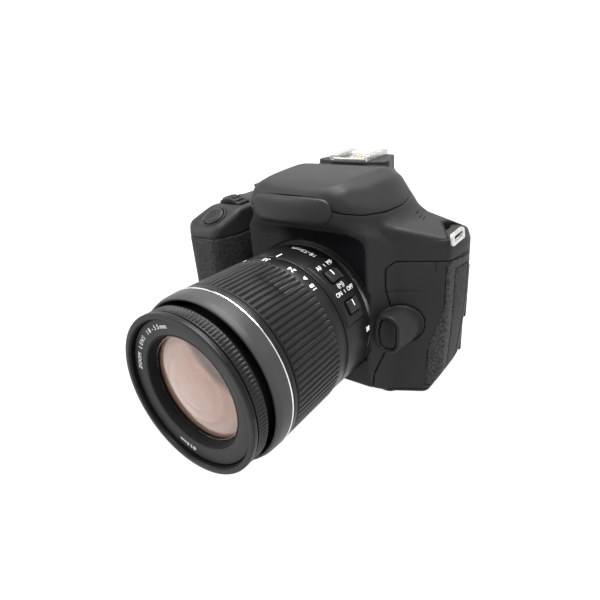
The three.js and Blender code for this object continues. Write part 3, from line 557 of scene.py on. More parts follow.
def coating_and_reflection(name, dark, light, roughness):
    """Coated lens glass: pale pink, with a painted dark reflection towards the upper right of the glass."""
    finish = glossy(name, dark, light, roughness)
    right, up = 0.62, 0.78
    along = finish.add("VectorMath", {0: finish.where, 1: (right, 0.0, up)},
        operation="DOT_PRODUCT").outputs["Value"]
    # the dark region towards the upper right is a painted reflection, laid over the coating's pale colour
    painted_reflection = finish.smooth_step(along, (AXIS_Z * up + 17) * MM, (AXIS_Z * up + 9) * MM)
    finish.colour(painted_reflection, dark, light)
    return finish


def metal(name, dark, light, roughness):
    return grained(name, dark, light, roughness, grain=1.2, depth=0.01, metallic=1.0, patches=0.3)


def clear_glass(name, dark, light):
    """Lens glass, clear but for faint wiping marks."""
    finish = glossy(name, dark, light, 0.01)
    finish.feed(finish.surface, {"Transmission Weight": 1.0, "IOR": 1.5, "Specular IOR Level": 0.5})
    return finish


FRONT_GLASS = clear_glass("front_glass", (0.9, 0.86, 0.84), (0.97, 0.95, 0.93))
COATED_AND_REFLECTION = coating_and_reflection("coated_glass_and_reflection", (0.15, 0.095, 0.072), (0.56, 0.35, 0.28), 0.12)
EYE_GLASS = glossy("eyepiece_glass", (0.012, 0.014, 0.02), (0.025, 0.025, 0.035), 0.04, 0.6)
SCREEN = glossy("screen_glass", (0.004, 0.004, 0.005), (0.007, 0.007, 0.008), 0.05, 1.0)
BODY = grained("body_plastic", (0.0114, 0.011, 0.0112), (0.0166, 0.016, 0.0156), 0.52, grain=2.6, depth=0.05)
PLATE = grained("plate_plastic", (0.015, 0.015, 0.0155), (0.0195, 0.0195, 0.019), 0.45, grain=5.0,
    depth=0.02)
LEATHER = pebbled("grip_rubber", (0.011, 0.011, 0.011), (0.03, 0.03, 0.03), 0.62)
SIDE_LEATHER = pebbled("side_rubber", (0.014, 0.0138, 0.014), (0.046, 0.045, 0.046), 0.6)
FLAP = pebbled("flap_rubber", (0.009, 0.009, 0.009), (0.03, 0.03, 0.03), 0.66, cell=0.8, depth=0.16)
KEY = grained("key_plastic", (0.012, 0.012, 0.0125), (0.019, 0.019, 0.0195), 0.36, grain=3.0, depth=0.02)
INNER = grained("inner_black", (0.003, 0.003, 0.003), (0.006, 0.006, 0.006), 0.75, grain=2.0, depth=0.05)
# painted shade of the nose over the mount face: near-black on the right, fading to the body's grey towards
# the left
MOUNT_SHADE = painted_shade_gradient("mount_painted_shade", (0.0035, 0.0035, 0.0045), (0.021, 0.0205, 0.021), 0.6, 0.004, -0.024)
STEEL = metal("plated_steel", (0.5, 0.5, 0.48), (0.66, 0.66, 0.64), 0.3)
BRASS = metal("gilt_contact", (0.62, 0.45, 0.2), (0.75, 0.56, 0.27), 0.28)
BLADE = metal("shutter_blade", (0.05, 0.05, 0.055), (0.08, 0.08, 0.085), 0.4)
MIRROR = metal("mirror_silver", (0.8, 0.81, 0.82), (0.88, 0.89, 0.9), 0.06)
SILVER = metal("silver_trim", (0.72, 0.72, 0.72), (0.86, 0.86, 0.86), 0.22)
BARREL = grained("barrel_plastic", (0.0045, 0.0045, 0.005), (0.008, 0.008, 0.0085), 0.34, grain=4.0,
    depth=0.02)
BAND = grained("band_plastic", (0.026, 0.0265, 0.0265), (0.037, 0.0375, 0.037), 0.42, grain=3.0, depth=0.02)
RIBS = grained("ring_rubber", (0.006, 0.006, 0.0065), (0.011, 0.011, 0.0115), 0.36, grain=2.0, depth=0.03)
MARK = grained("white_mark", (0.7, 0.7, 0.69), (0.82, 0.82, 0.81), 0.5, grain=4.0, depth=0.01)
SOFT = grained("eyecup_rubber", (0.006, 0.006, 0.006), (0.011, 0.011, 0.011), 0.72, grain=1.5, depth=0.05)
FROSTED = grained("ground_glass", (0.5, 0.52, 0.5), (0.62, 0.64, 0.62), 0.35, grain=12.0, depth=0.01)
SENSOR = glossy("sensor_glass", (0.02, 0.035, 0.05), (0.05, 0.03, 0.06), 0.08, 1.0)
BOARD = grained("circuit_board", (0.008, 0.06, 0.02), (0.02, 0.11, 0.04), 0.4, grain=1.2, depth=0.08,
    patches=0.4)
CELL = grained("battery_case", (0.02, 0.02, 0.021), (0.03, 0.03, 0.031), 0.5, grain=3.0, depth=0.03)


# ------------------------------------------------------------------ where the covers part, as fields
def top_region(s):
    front = np.maximum(shape(s.x, s.z, TOP_SEAM), s.y - SEAM_Y)
    return np.minimum(front, np.maximum(SEAM_Y - s.y, REAR_SEAM_Z - s.z))


def panel_region(s):
    return np.maximum(shape(s.x, s.z, PANEL), s.y - SEAM_Y)


def flash_region(s):
    return shape(s.y, s.z, FLASH_SIDE)


def grip_region(s):
    return np.maximum(shape(s.y, s.z, GRIP_SKIN), s.x + 40.6)


def side_region(s):
    return np.maximum(shape(s.y, s.z, SIDE_SKIN), SIDE_X - s.x)


def shell(s, thickness=WALL):
    return np.maximum(s.body, -s.body - thickness)


def under_skins(s):
    """Where the rubber coverings sit in the covers."""
    either = np.minimum(grip_region(s), side_region(s)) - GAP
    return np.maximum(either, -s.body - SKIN - GAP)


def about_axis(s):
    """Distance from the optical axis."""
    return np.sqrt(s.x**2 + (s.z - AXIS_Z) ** 2)


CARD = span("card_door")
FLAPS = [span(name) for name in ("terminal_cover_front", "terminal_cover_rear")]


def door_field(s, box, margin):
    """A door's outline seen from the side, in the half of the body that it is on."""
    low, high = box[0] - margin, box[1] + margin
    side = shape(s.y, s.z, [(low[1], low[2], 1), (high[1], low[2], 1), (high[1], high[2], 1),
        (low[1], high[2], 1)])
    return np.maximum(side, SIDE_X - s.x * math.copysign(1, low[0]))


RELEASE = middle("lens_release_button")
PREVIEW = middle("preview_button")
LOCK_PIN = middle("lens_lock_pin")
RELEASE_SHAPE = [(4, 6.9, 3.4), (-2.6, 6.9, 2.6), (-3.9, 0, 6), (-2.6, -6.9, 2.6), (4, -6.9, 3.4)]
COLLAR_RIM = -42.2  # along Y
COLLAR_FOOT = (39.3, 36.2, 8.7)  # the x and z of its centre, and its radius
COLLAR_GAP = 0.5
SEAT_RADIUS, THROAT_RADIUS = 33.4, 29.2  # the front cover's two steps about the mount


def release_outline(s, margin):
    return shape(s.x - RELEASE[0], s.z - RELEASE[2], RELEASE_SHAPE) - margin


def collar_field(s, margin):
    """The raised boss about the lens release: its rim follows the button, its foot is round."""
    x, z, radius = COLLAR_FOOT
    foot = np.sqrt((s.x - x) ** 2 + (s.z - z) ** 2) - radius
    rim = release_outline(s, 2.0)
    side = rim + (foot - rim) * ease(s.y, COLLAR_RIM, COLLAR_RIM + 11) - margin
    return meet(side * 0.9, np.maximum(COLLAR_RIM - margin - s.y, s.y + 24), 0.7)


PLATEAU = [
    (19.4, -1.6, 3), (15.8, 9, 6), (13.4, 16.8, 2), (-13.4, 16.8, 2), (-15.8, 9, 6), (-19.4, -1.6, 3),
    (-8, -4.6, 6), (8, -4.6, 6),
]
SHUTTER_PLACE = (-54, -42.6, 78.3)
SHUTTER_AXIS = (0, -0.51, 0.86)
REAR_KEYS = [
    "menu_button", "info_button", "live_view_button", "af_on_button",
    "ae_lock_button", "af_point_button", "playback_button", "erase_button",
]


def half_width(node):
    low, high = span(node)
    return (high[0] - low[0]) / 2


def cut_all(field, *cutters):
    """A field less others, each given with the rounding of its new edge."""
    for cutter, radius in cutters:
        field = cut(field, cutter, radius)
    return field


REAR_HOLES = [(middle(name), half_width(name)) for name in REAR_KEYS + ["control_dial"]]


# ------------------------------------------------------------------ covers
def front_cover():
    s = near((-75, -56, 1), (63, 1, 100))
    boss = collar_field(s, 0.0)
    field = np.maximum(join(s.body, boss, 0.5), -s.body - WALL)
    field = meet(field, s.y - SEAM_Y + GAP / 2, SEAM_ROUND)
    field = meet(field, BASE_TOP + GAP - s.z, SEAM_ROUND)
    away = about_axis(s)
    field = cut_all(
        field,
        (top_region(s), HAIRLINE),
        (cut(panel_region(s), boss - COLLAR_GAP), SEAM_ROUND),
        (under_skins(s), SEAM_ROUND),
        (np.maximum(away - SEAT_RADIUS, s.y + 40.8), 0.3),
        (np.maximum(away - THROAT_RADIUS, s.y + 20), 0.3),
        (np.maximum(release_outline(s, GAP), s.y + 20), 0.6),
        (s.bore(PREVIEW[0], PREVIEW[2], 2.9, -50, -30), 0.4),
        (door_field(s, CARD, GAP), SEAM_ROUND),
    )
    dress(skin("front_cover_shell", s, field, BODY, adaptivity=0.0), "front_cover")


def left_panel():
    s = near((30, -40, 1), (63, 1, 67))
    field = meet(shell(s), panel_region(s) + GAP, SEAM_ROUND)
    field = meet(field, s.y - SEAM_Y + GAP / 2, SEAM_ROUND)
    field = meet(field, BASE_TOP + GAP - s.z, SEAM_ROUND)
    lines = np.minimum(s.block(34, 48.3, -50, -18, 51.5, 51.8), s.block(51.7, 52, -50, -18, 60.6, 66))
    field = cut_all(
        field,
        (collar_field(s, COLLAR_GAP + GAP), SEAM_ROUND),
        (under_skins(s), SEAM_ROUND),
        *((door_field(s, flap, GAP), SEAM_ROUND) for flap in FLAPS),
        (np.maximum(lines, -s.body - 0.4), 0.1),
    )
    dress(skin("left_panel_shell", s, field, BODY), "left_panel")


def rear_cover():
    s = near((-75, -1, 1), (63, 20, 72))
    low, high = span("monitor")
    recess = s.block(low[0] - 0.6, 80, low[1] - GAP, 60, low[2] - 1, high[2] + 1)
    floor = s.block(low[0] - 3, 53, low[1] - 2, low[1] - GAP, low[2] - 3, high[2] + 3)
    field = join(cut(shell(s), recess, 0.6), floor)
    field = meet(field, SEAM_Y + GAP / 2 - s.y, SEAM_ROUND)
    field = meet(field, BASE_TOP + GAP - s.z, SEAM_ROUND)
    field = meet(field, s.z - REAR_SEAM_Z, SEAM_ROUND)
    field = cut_all(
        field,
        (under_skins(s), SEAM_ROUND),
        *((s.bore(place[0], place[2], radius + GAP, 5, 30), SEAM_ROUND) for place, radius in REAR_HOLES),
        (door_field(s, CARD, GAP), SEAM_ROUND),
        (door_field(s, FLAPS[1], GAP), SEAM_ROUND),
    )
    dress(skin("rear_cover_shell", s, field, BODY), "rear_cover")


def top_cover():
    s = near((-75, -56, 68), (63, 20, 104))
    plateau = meet(shape(s.x, s.y, PLATEAU), np.maximum(s.z - 100, 92 - s.z), 0.5)
    plateau = cut_all(plateau, *((s.post(side * 13.2, -1.6, 0.9, 99.5, 102), 0.2) for side in (-1, 1)))
    outside = join(s.body, plateau, 0.8)
    field = np.maximum(outside, -s.body - WALL)
    tongue = np.maximum(np.maximum(outside + 0.06, -s.body - WALL), top_region(s) - 0.6)
    field = np.minimum(meet(field, top_region(s) + HAIRLINE, HAIRLINE), tongue)
    field = cut(field, flash_region(s) - GAP, 0.3)
    # the bay's wall stands under the flash head
    wall = np.maximum(s.body + 2.8, -s.body - 4.6)
    wall = np.maximum(wall, np.maximum(np.abs(s.x) - 24, np.maximum(-41 - s.y, s.y - FLASH_REAR_Y + 0.5)))
    field = np.minimum(field, np.maximum(wall, top_region(s) + GAP))
    low, high = span("main_dial")
    dial_slot = s.block(low[0] + 1.2, high[0] - 1.2, low[1] - 0.6, high[1] + 0.6, 60, 99, 1.2)
    keys = [(*middle(name)[:2], half_width(name) + GAP) for name in ("iso_button", "display_button")]
    field = cut_all(
        field,
        (s.rod((0, FLASH_REAR_Y + 0.2, 98.2), (1, 0, 0), 1.6, -19, 19), 0.2),
        (s.block(-11, 11, 5, 40, 74.5, 88), 0.5),
        (s.rod(SHUTTER_PLACE, SHUTTER_AXIS, 6.1, -8, 8), 0.9),
        (dial_slot, 0.5),
        *((s.post(x, y, radius, 76, 90), SEAM_ROUND) for x, y, radius in keys),
        (s.post(*middle("mode_dial")[:2], 3.2, 76, 90), 0.3),
        *((lug_pocket(s, side) - POCKET_LINING, 0.3) for side in ("right", "left")),
        (s.rod(middle("diopter_dial"), (1, 0, 0), 4.0, -2.3, 2.3), 0.4),
    )
    dress(skin("top_cover_shell", s, field, BODY), "top_cover")


POCKET = [(47.2, -7.8, 2), (55.2, -20.8, 1), (58, -27.5, 1), (68, -27.5, 1), (68, -0.8, 1), (49, -0.8, 2.5)]
POCKET_LINING = 0.7


def lug_pocket(s, side):
    """The hollow that a strap lug stands in: open above and to the side."""
    low, high = span("strap_lug_" + side)
    x, y, z = (low + high) / 2
    if side == "left":
        return s.rod((x - 3, y, z + 1.2), (0, 1, 0), 5.8, -8.8, 8.8, 1.0)
    plan = shape(s.x - x + 57.2, s.y - y - 17.4, POCKET)
    return meet(plan, np.maximum(low[2] - 0.6 - s.z, s.z - high[2] - 8), 0.8)


def pocket_linings():
    for side in ("right", "left"):
        low, high = span("strap_lug_" + side)
        s = near(low - (16, 12, 6), high + (16, 20, 8))
        pocket = lug_pocket(s, side)
        # the lining is near-black, darker than the covers round it: painted shade in the hollow
        lining = np.maximum(np.maximum(s.body + 0.1, -s.body - 8),
            np.maximum(pocket - POCKET_LINING, -pocket))
        dress(skin("lug_pocket_" + side, s, lining, INNER))


def base_cover():
    s = near((-75, -56, -2), (63, 20, 4))
    low, high = span("battery_door")
    field = cut_all(
        meet(meet(s.body, s.z - BASE_TOP, SEAM_ROUND), -s.z, 0.3),
        (s.post(*middle("tripod_socket")[:2], 6.2, -5, 10), 0.3),
        (s.block(low[0] - 0.4, high[0] + 0.4, low[1] - 0.4, high[1] + 0.4, -5, 10, 1.5), 0.3),
    )
    dress(skin("base_cover_shell", s, field, BODY), "base_cover")


def coverings():
    s = near((-75, -56, 3), (-38, 1, 72))
    field = meet(shell(s, SKIN), grip_region(s), 0.6)
    field = cut(field, door_field(s, CARD, GAP), 0.4)
    dress(skin("grip_leather", s, field, LEATHER), "grip_rubber")
    s = near((44, -30, 3), (63, 13, 68))
    field = meet(shell(s, SKIN), side_region(s), 0.5)
    field = cut_all(field, *((door_field(s, flap, GAP), 0.3) for flap in FLAPS))
    dress(skin("side_leather", s, field, SIDE_LEATHER), "side_rubber")


def flash_head():
    s = near((-38, -56, 80), (38, -3, 104))
    field = meet(shell(s, 1.9), flash_region(s), SEAM_ROUND)
    dress(skin("flash_shell", s, field, BODY, "flash_head"), "flash_head")


def doors():
    for name, finish, slot_name in (
        ("card_door", BODY, "body_plastic"),
        ("terminal_cover_front", FLAP, "flap_rubber"),
        ("terminal_cover_rear", FLAP, "flap_rubber"),
    ):
        box = span(name)
        s = near(box[0] - 2, box[1] + 2)
        field = meet(shell(s, 1.5), door_field(s, box, 0.0), 0.4)
        dress(skin(name + "_shell", s, field, finish, name), name)


# ------------------------------------------------------------------ lens
def groove(angle, count, width):
    """1 in the middle of each of a ring's grooves, 0 on the ribs between."""
    phase = np.abs((angle * count / 360) % 1 - 0.5) * 2
    return 1 - ease(phase, width - 0.16, width + 0.16)


ZOOM_LOW, ZOOM_HIGH = span("zoom_ring")
ZOOM_RIBS = 84
ZOOM_FACE_R = 33.3
WRAP_R = 34.0  # lengths along the barrel's arc are measured at this radius
RIB_REAR, RIB_FRONT = -70.6, -97.2


def zoom_ripple(angle, radius, y):
    turn = (angle + 180) % 360 - 180
    notch = ease(turn, 8, 11) * (1 - ease(turn, 33, 36)) * ease(y, -82.6, -81.6)
    ends = ease(y, RIB_FRONT, RIB_FRONT + 0.7) * (1 - ease(y, RIB_REAR - 0.7, RIB_REAR))
    inside = radius > 33
    return np.where(inside, -ends * (0.8 * groove(angle, ZOOM_RIBS, 0.4) + 0.35 * notch), 0)


def zoom_ring():
    front, rear = ZOOM_LOW[1], ZOOM_HIGH[1]
    outer = [(33.95 + 0.012 * (RIB_FRONT - y), y, 0) for y in (
        RIB_FRONT, RIB_FRONT + 0.2, RIB_FRONT + 0.4, RIB_FRONT + 0.8, -90, -83, -82.3, -81.9, -81.5, -76,
        RIB_REAR - 0.8, RIB_REAR - 0.4, RIB_REAR - 0.2, RIB_REAR,
    )]
    dress(lathe("zoom_ring_core", [
        (31, -102, 0), (32.5, -102, 0), (32.5, -108, 0), (33, -108, 0), (33, RIB_FRONT - 3.7, 0),
        (34.05, RIB_FRONT - 3.7, 0.3), (34.05, RIB_FRONT - 1.5, 0.3), (33.4, RIB_FRONT - 1.2, 0.1),
        (33.4, RIB_FRONT - 0.7, 0.1), (33.9, RIB_FRONT - 0.5, 0.2), (33.9, RIB_FRONT - 0.1, 0.1),
        (32.6, RIB_FRONT, 0), (32.6, RIB_REAR, 0), (33.3, RIB_REAR, 0.2), (33.2, rear, 0.5), (31, rear, 0.1),
    ], BARREL, "zoom_ring"), "zoom_ring")
    ribbed = [(32.6, RIB_FRONT, 0)] + outer + [(32.6, RIB_REAR, 0)]
    dress(lathe("zoom_ring_ribs", ribbed, RIBS, "zoom_ring", ZOOM_RIBS * 12, zoom_ripple))
    dress(lathe("zoom_ring_silver", [
        (33.2, -101.7, 0), (34.1, -101.7, 0.1), (34.25, -101.35, 0.15), (34.1, -101.0, 0.1),
        (33.2, -101.0, 0),
    ], SILVER, "zoom_ring"))
    dress(lathe("zoom_ring_band", [
        (32.5, front, 0.1), (33.3, front, 0.6), (33.95, front + 2.2, 3), (34.15, -101.8, 0.2),
        (33, -101.8, 0),
        (33, -104, 0), (32.5, -104, 0),
    ], BAND, "zoom_ring"))
    for text, angle in (("18", 39.7), ("24", 20.4), ("35", -1.7), ("55", -24)):
        lettering("zoom_mark_" + text, text, 2.5, angle, -67.6, ZOOM_FACE_R, 180, "zoom_ring")
    lettering("zoom_mark_lock", "\u25b2", 1.7, 31.3, -67.2, ZOOM_FACE_R, 180, "zoom_ring")


def bend(vertices):
    """Points laid out flat as (arc, y, radius) wrapped round the barrel."""
    angle = vertices[:, 0] / WRAP_R
    around = [vertices[:, 2] * np.sin(angle), vertices[:, 1], AXIS_Z + vertices[:, 2] * np.cos(angle)]
    return np.stack(around, axis=1)


def arc(degrees):
    return math.radians(degrees) * WRAP_R


def lettering(name, text, height, angle, y, radius, turn, body):
    """Raised characters wrapped round the barrel. They read against the rising angle."""
    c, s = math.cos(math.radians(turn)), math.sin(math.radians(turn))
    letters(name, text, height, lambda flat: bend(np.stack([
        arc(angle) + flat[:, 0] * c - flat[:, 1] * s,
        y + flat[:, 0] * s + flat[:, 1] * c,
        radius + 0.02 + flat[:, 2],
    ], axis=1)), body)


def wrapped(name, low, high, make, finish, body, slot_name, step=0.16, node=None):
    """A piece shaped in flat (arc, y, radius) space and wrapped round the barrel."""
    cut_piece(name, low, high, make, finish, body, slot_name, step, node, 0.0, bend)


SWITCHES = {"af_switch": 40.5, "stabilizer_switch": 64.0}
PANEL_R, PANEL_FROM, PANEL_TO = 34.3, 24.0, 77.0


def switch_panel(s):
    plan = shape(s.x, s.y, [
        (arc(PANEL_FROM), -63.5, 1.2), (arc(PANEL_TO), -63.5, 1.2), (arc(PANEL_TO), -48.2, 1.2),
        (arc(PANEL_FROM), -48.2, 1.2),
    ])
    ends = np.minimum(s.x - arc(PANEL_FROM), arc(PANEL_TO) - s.x)
    top = np.maximum(s.z - PANEL_R, np.maximum(s.z - 33.0 - (s.y + 63.5) * 0.95, s.z - 33.0 - ends * 0.8))
    rear_fall = s.z - 33.0 - (-48.2 - s.y) * 0.5
    field = meet(plan, np.maximum(np.maximum(top, rear_fall), 32.6 - s.z), 0.3)
    for name, angle in SWITCHES.items():
        low, high = span(name)
        pocket = s.block(arc(angle) - 3.1, arc(angle) + 3.1, low[1] - 0.5, high[1] + 2.6, 33.4, 40, 1.3)
        field = cut(field, pocket, 0.25)
    return field


def switch(name, angle):
    low, high = span(name)
    u = arc(angle)

    def knob(s):
        block = s.block(u - 2.6, u + 2.6, low[1], high[1], 33.6, 35.5, 0.9)
        return meet(block, s.z - 35.5 + (s.x - u) ** 2 * 0.03, 0.4)

    wrapped(name + "_knob", (u - 3.2, low[1] - 0.6, 33), (u + 3.2, high[1] + 0.6, 36), knob, KEY, name,
            "control_plastic", node=name)
    wrapped(name + "_line", (u - 3, -57, 35), (u + 1, -54, 36),
            lambda s: s.block(u - 2.3, u + 0.2, -55.9, -55.4, 35.1, 35.56, 0.12), MARK, name,
            "control_plastic", 0.1)


def barrel_mark(name, low, high):
    low, high = np.array(low), np.array(high)
    wrapped(name, low - 0.5, high + 0.5,
        lambda s: s.block(low[0], high[0], low[1], high[1], low[2], high[2], 0.08),
            MARK, "lens", "lens_plastic", 0.1)


def barrel():
    rear = span("lens_barrel")[1][1]
    dress(lathe("barrel_tube", [
        (28.9, -92, 0), (30.4, -92, 0.2), (30.4, -63.6, 0), (33.2, -63.6, 0.4), (33.3, -50, 2),
        (32.5, -46.4, 0.6),
        (32.2, -44.5, 0.2), (28.9, -44.5, 0),
    ], BARREL, "lens"), "lens_barrel")
    dress(lathe("bayonet_spigot", [
        (24.6, -47.8, 0), (28.9, -47.8, 0), (28.9, -44.5, 0), (26.4, -44.5, 0.1), (26.4, rear, 0.4),
        (24.6, rear, 0.4),
    ], STEEL, "lens"))
    wrapped("switch_panel", (arc(22), -64.5, 32), (arc(79), -47, 35), switch_panel, BARREL, "lens",
        "lens_plastic", 0.22)
    for name, angle in SWITCHES.items():
        switch(name, angle)
    for text, angle, y, size in (
        ("AF", 31.4, -58.4, 2.0), ("MF", 31.2, -50.8, 2.0), ("ON", 53.4, -59.6, 1.8),
        ("OFF", 53.4, -51.6, 1.8),
        ("((\u2022))", 48.2, -55.6, 1.9),
    ):
        lettering("switch_mark_" + str(round(-y * 10)), text, size, angle, y, PANEL_R, 90, "lens")
    lettering("barrel_mark_range", "18-55mm", 2.4, 10.5, -51.6, 33.25, 180, "lens")
    barrel_mark("index_mark", (arc(1.2) - 0.3, -63.2, 33.0), (arc(1.2) + 0.3, -59.6, 33.36))
    barrel_mark("switch_tick_af", (arc(31.2) - 0.8, -54.7, 34.0), (arc(31.2) + 0.8, -54.35, 34.35))
    barrel_mark("switch_tick_on", (arc(53.4) - 0.7, -55.7, 34.0), (arc(53.4) + 0.7, -55.35, 34.35))
    barrel_mark("mount_mark", (arc(88) - 1.1, -48.6, 32.9), (arc(88) + 1.1, -46.4, 33.2))


FRONT_Y = span("focus_barrel")[0][1]
FOCUS_RIBS = 132


def focus_ripple(angle, radius, y):
    ribs = ease(y, -116.3, -115.9) * (1 - ease(y, -112.9, -112.5)) * 0.4 * groove(angle, FOCUS_RIBS, 0.45)
    turn = angle % 120
    notch = ease(turn, 48, 49) * (1 - ease(turn, 84, 85))
    notch = notch * ease(y, -118.7, -118.4) * (1 - ease(y, -117.9, -117.7))
    return np.where(radius > 31.5, -ribs - 0.5 * notch, 0)


def focus_barrel():
    threads = []
    for k in range(4):
        y = FRONT_Y + 0.6 + 0.7 * k
        threads += [(29.75, y, 0), (29.35, y + 0.37, 0)]
    outside = [
        (25.0, -111.5, 0), (31.4, -111.5, 0.1), (31.9, -112.2, 0.2), (31.9, -112.5, 0), (31.9, -112.9, 0),
        (31.9, -115.9, 0), (31.9, -116.3, 0), (31.85, -116.6, 0.1), (31.2, -116.8, 0.1), (31.2, -117.2, 0.1),
        (31.9, -117.4, 0.1), (31.95, -117.7, 0), (31.95, -117.9, 0), (31.95, -118.4, 0), (31.95, -118.7, 0),
        (31.8, FRONT_Y, 0.3), (29.9, FRONT_Y, 0.25),
    ]
    profile = outside + threads + [(29.4, -116.0, 0), (28.6, -115.6, 0), (25.0, -114.9, 0)]
    ring = lathe("focus_ring_shell", profile[::-1], BARREL, "focus_barrel", FOCUS_RIBS * 10, focus_ripple)
    dress(ring, "focus_barrel")
    for name, corners, finish in (
        ("focus_ring_sleeve", [(23.7, -88.2, 0), (23.7, -111.0, 0), (25.0, -111.0, 0), (25.0, -88.2, 0)],
            INNER),
        ("retaining_ring", [
            (23.0, -116.7, 0.15), (28.9, -117.1, 0.15), (29.2, -116.6, 0), (28.9, -115.9, 0),
            (23.0, -115.8, 0.1),
        ], PLATE),
        ("glass_retainer", [
            (21.8, -113.6, 0.15), (22.3, -116.6, 0.2), (23.1, -116.6, 0.1), (23.1, -105.4, 0),
            (21.8, -105.4, 0),
        ], INNER),
    ):
        dress(lathe(name, corners, finish, "focus_barrel"))


def cap(name, radius, crown, y, thickness, finish, body, back_crown=0.0):
    """A round glass with a crowned front and back."""
    shares = np.arange(25) / 24
    front = [(radius * t, y - crown * (1 - t * t), 0) for t in shares]
    back = [(radius * t, y + thickness - back_crown * (1 - t * t), 0) for t in shares[::-1]]
    return dress(lathe(name, front + back, finish, body, 96))


def ridge(radius, inner, crest, outer):
    """A ring on the inner glass: 1 at its crest, steep inside it and fading outwards."""
    return ease(radius, inner, crest) * (1 - ease(radius, crest, outer))


def glass():
    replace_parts(cap("front_lens", 21.7, 2.6, -113.2, 0.9, FRONT_GLASS, "helicoid", 2.6), "front_element")
    dome = [(21.3, -103.5, 0)]
    for r in np.linspace(21.3, 0, 28):
        rings = 0.7 * ridge(r, 12.2, 12.9, 15.5) + 0.25 * ridge(r, 17.2, 17.6, 18.6)
        rings += 0.35 * ridge(r, 8.0, 8.6, 10.5)
        dome.append((r, -111.2 - 2.9 * (1 - (r / 21.3) ** 2) - rings, 0))
    dress(lathe("second_lens", [(0, -103.5, 0)] + dome, COATED_AND_REFLECTION, "helicoid", 160))
    cap("third_lens", 14, 3.4, -97.5, 3.0, COATED_AND_REFLECTION, "helicoid")
    ring_text("front_ring_text", "ZOOM LENS 18-55mm", 26.2, -48, 1.8)
    ring_text("front_ring_size", "\u00d858mm", 26.4, -165, 1.5)


def ring_text(name, text, radius, angle, height):
    """Characters round the front retaining ring, their tops outwards."""
    pitch = math.degrees(height * 1.12 / radius)
    for k, character in enumerate(text):
        if character == " ":
            continue
        turn = math.radians(angle + (k - (len(text) - 1) / 2) * pitch)
        out = np.array((math.sin(turn), 0, math.cos(turn)))
        right = (math.cos(turn), 0, -math.sin(turn))
        place = out * radius + (0, -116.95, AXIS_Z)
        engrave(name + "_" + str(k + 1), character, height, place, right, out, "focus_barrel",
            0.05)


# ------------------------------------------------------------------ turned and cut small parts
def fluted(count, depth):
    """The notches round a dial's edge."""
    def ripple(angle, radius, height):
        return np.where(radius > radius.max() - 0.6, -depth * groove(angle, count, 0.5), 0)

    return ripple


def key(name):
    """A round rear key: a short turned button with a crowned face."""
    low, high = span(name)
    place, radius, top = middle(name), half_width(name), high[1]
    dress(spun(name + "_cap", (place[0], 0, place[2]), (0, 1, 0), [
        (0, low[1], 0), (radius, low[1], 0), (radius, top - 0.35, 0.35), (radius * 0.55, top - 0.07, 3),
        (0, top, 0),
    ], KEY, name, 40), name)


# ------------------------------------------------------------------ front of the body
NOSE = [
    (-20.6, 84.6, 5.4), (-8, 83.4, 20), (8, 83.4, 20), (19.2, 84.6, 5.4), (19.2, 93.8, 4.6), (8, 94.6, 20),
    (-8, 94.6, 20),
    (-20.4, 93.8, 4.6),
]
# outline of the near-black sheet that paints the nose's shadow over the mount face
SHADE_ARCH = [(29.4, 20, 1), (29.4, 76, 7), (20, 81, 8), (-31, 82, 3), (-31, 20, 1)]


def front_details():
    s = near((-24, -56, 81), (24, -43, 98))
    plate = meet(np.maximum(s.body - 1.1, -s.body - 0.8), shape(s.x, s.z, NOSE), 0.7)
    dress(skin("nose_plate", s, meet(plate, s.y + 45.5, 0.3), PLATE))
    # a thin near-black sheet laid over the mount face stands for the shade under the nose
    s = near((-30, -44, 18), (31, -41, 82))
    shade_sheet = meet(np.maximum(s.body - 0.25, -s.body - 0.5), np.maximum(shape(s.x, s.z, SHADE_ARCH), s.y + 41.6))
    shade_sheet = cut(shade_sheet, about_axis(s) - 33.5, 0.2)
    dress(skin("mount_shade_sheet", s, shade_sheet, MOUNT_SHADE))
    dress(spun("self_timer_lamp", (-21.3, -42.3, 72.7), (0, -1, 0), [
        (0, -0.6, 0), (1.5, -0.6, 0), (1.5, 0.1, 0.1), (1.15, 0.15, 0.1), (1.0, -0.1, 0.1), (0, 0.05, 0),
    ], KEY, "body", 32))
    dress(spun("self_timer_window", (-21.1, -42.3, 72.9), (0, -1, 0), [
        (0, -0.3, 0), (0.6, -0.3, 0), (0.6, 0.12, 0.1), (0, 0.2, 0),
    ], INNER, "body", 24))
    low, high = span("lens_release_button")

    def release(s):
        face = low[1] + np.maximum(0.5 - ((s.x - RELEASE[0]) / 5) ** 2, 0) * 0.5
        return meet(release_outline(s, 0.0), np.maximum(face - s.y, s.y - high[1]), 0.6)

    cut_piece("lens_release_cap", low, high, release, KEY, "lens_release_button", "control_plastic", 0.28,
              "lens_release_button")
    low, high = span("preview_button")
    dress(spun("preview_cap", (PREVIEW[0], 0, PREVIEW[2]), (0, -1, 0), [
        (0, -high[1], 0), (2.6, -high[1], 0), (2.6, -low[1] - 0.3, 0.5), (1.4, -low[1], 1),
        (0, -low[1] - 0.2, 0),
    ], KEY, "preview_button", 40), "preview_button")
    low, high = span("lens_lock_pin")
    dress(spun("lens_lock_pin_turned", (LOCK_PIN[0], 0, LOCK_PIN[2]), (0, -1, 0), [
        (0, -high[1], 0), (1.4, -high[1], 0.1), (1.4, -low[1], 0.5), (0, -low[1], 0),
    ], STEEL, "lens_lock_pin", 32), "lens_lock_pin")


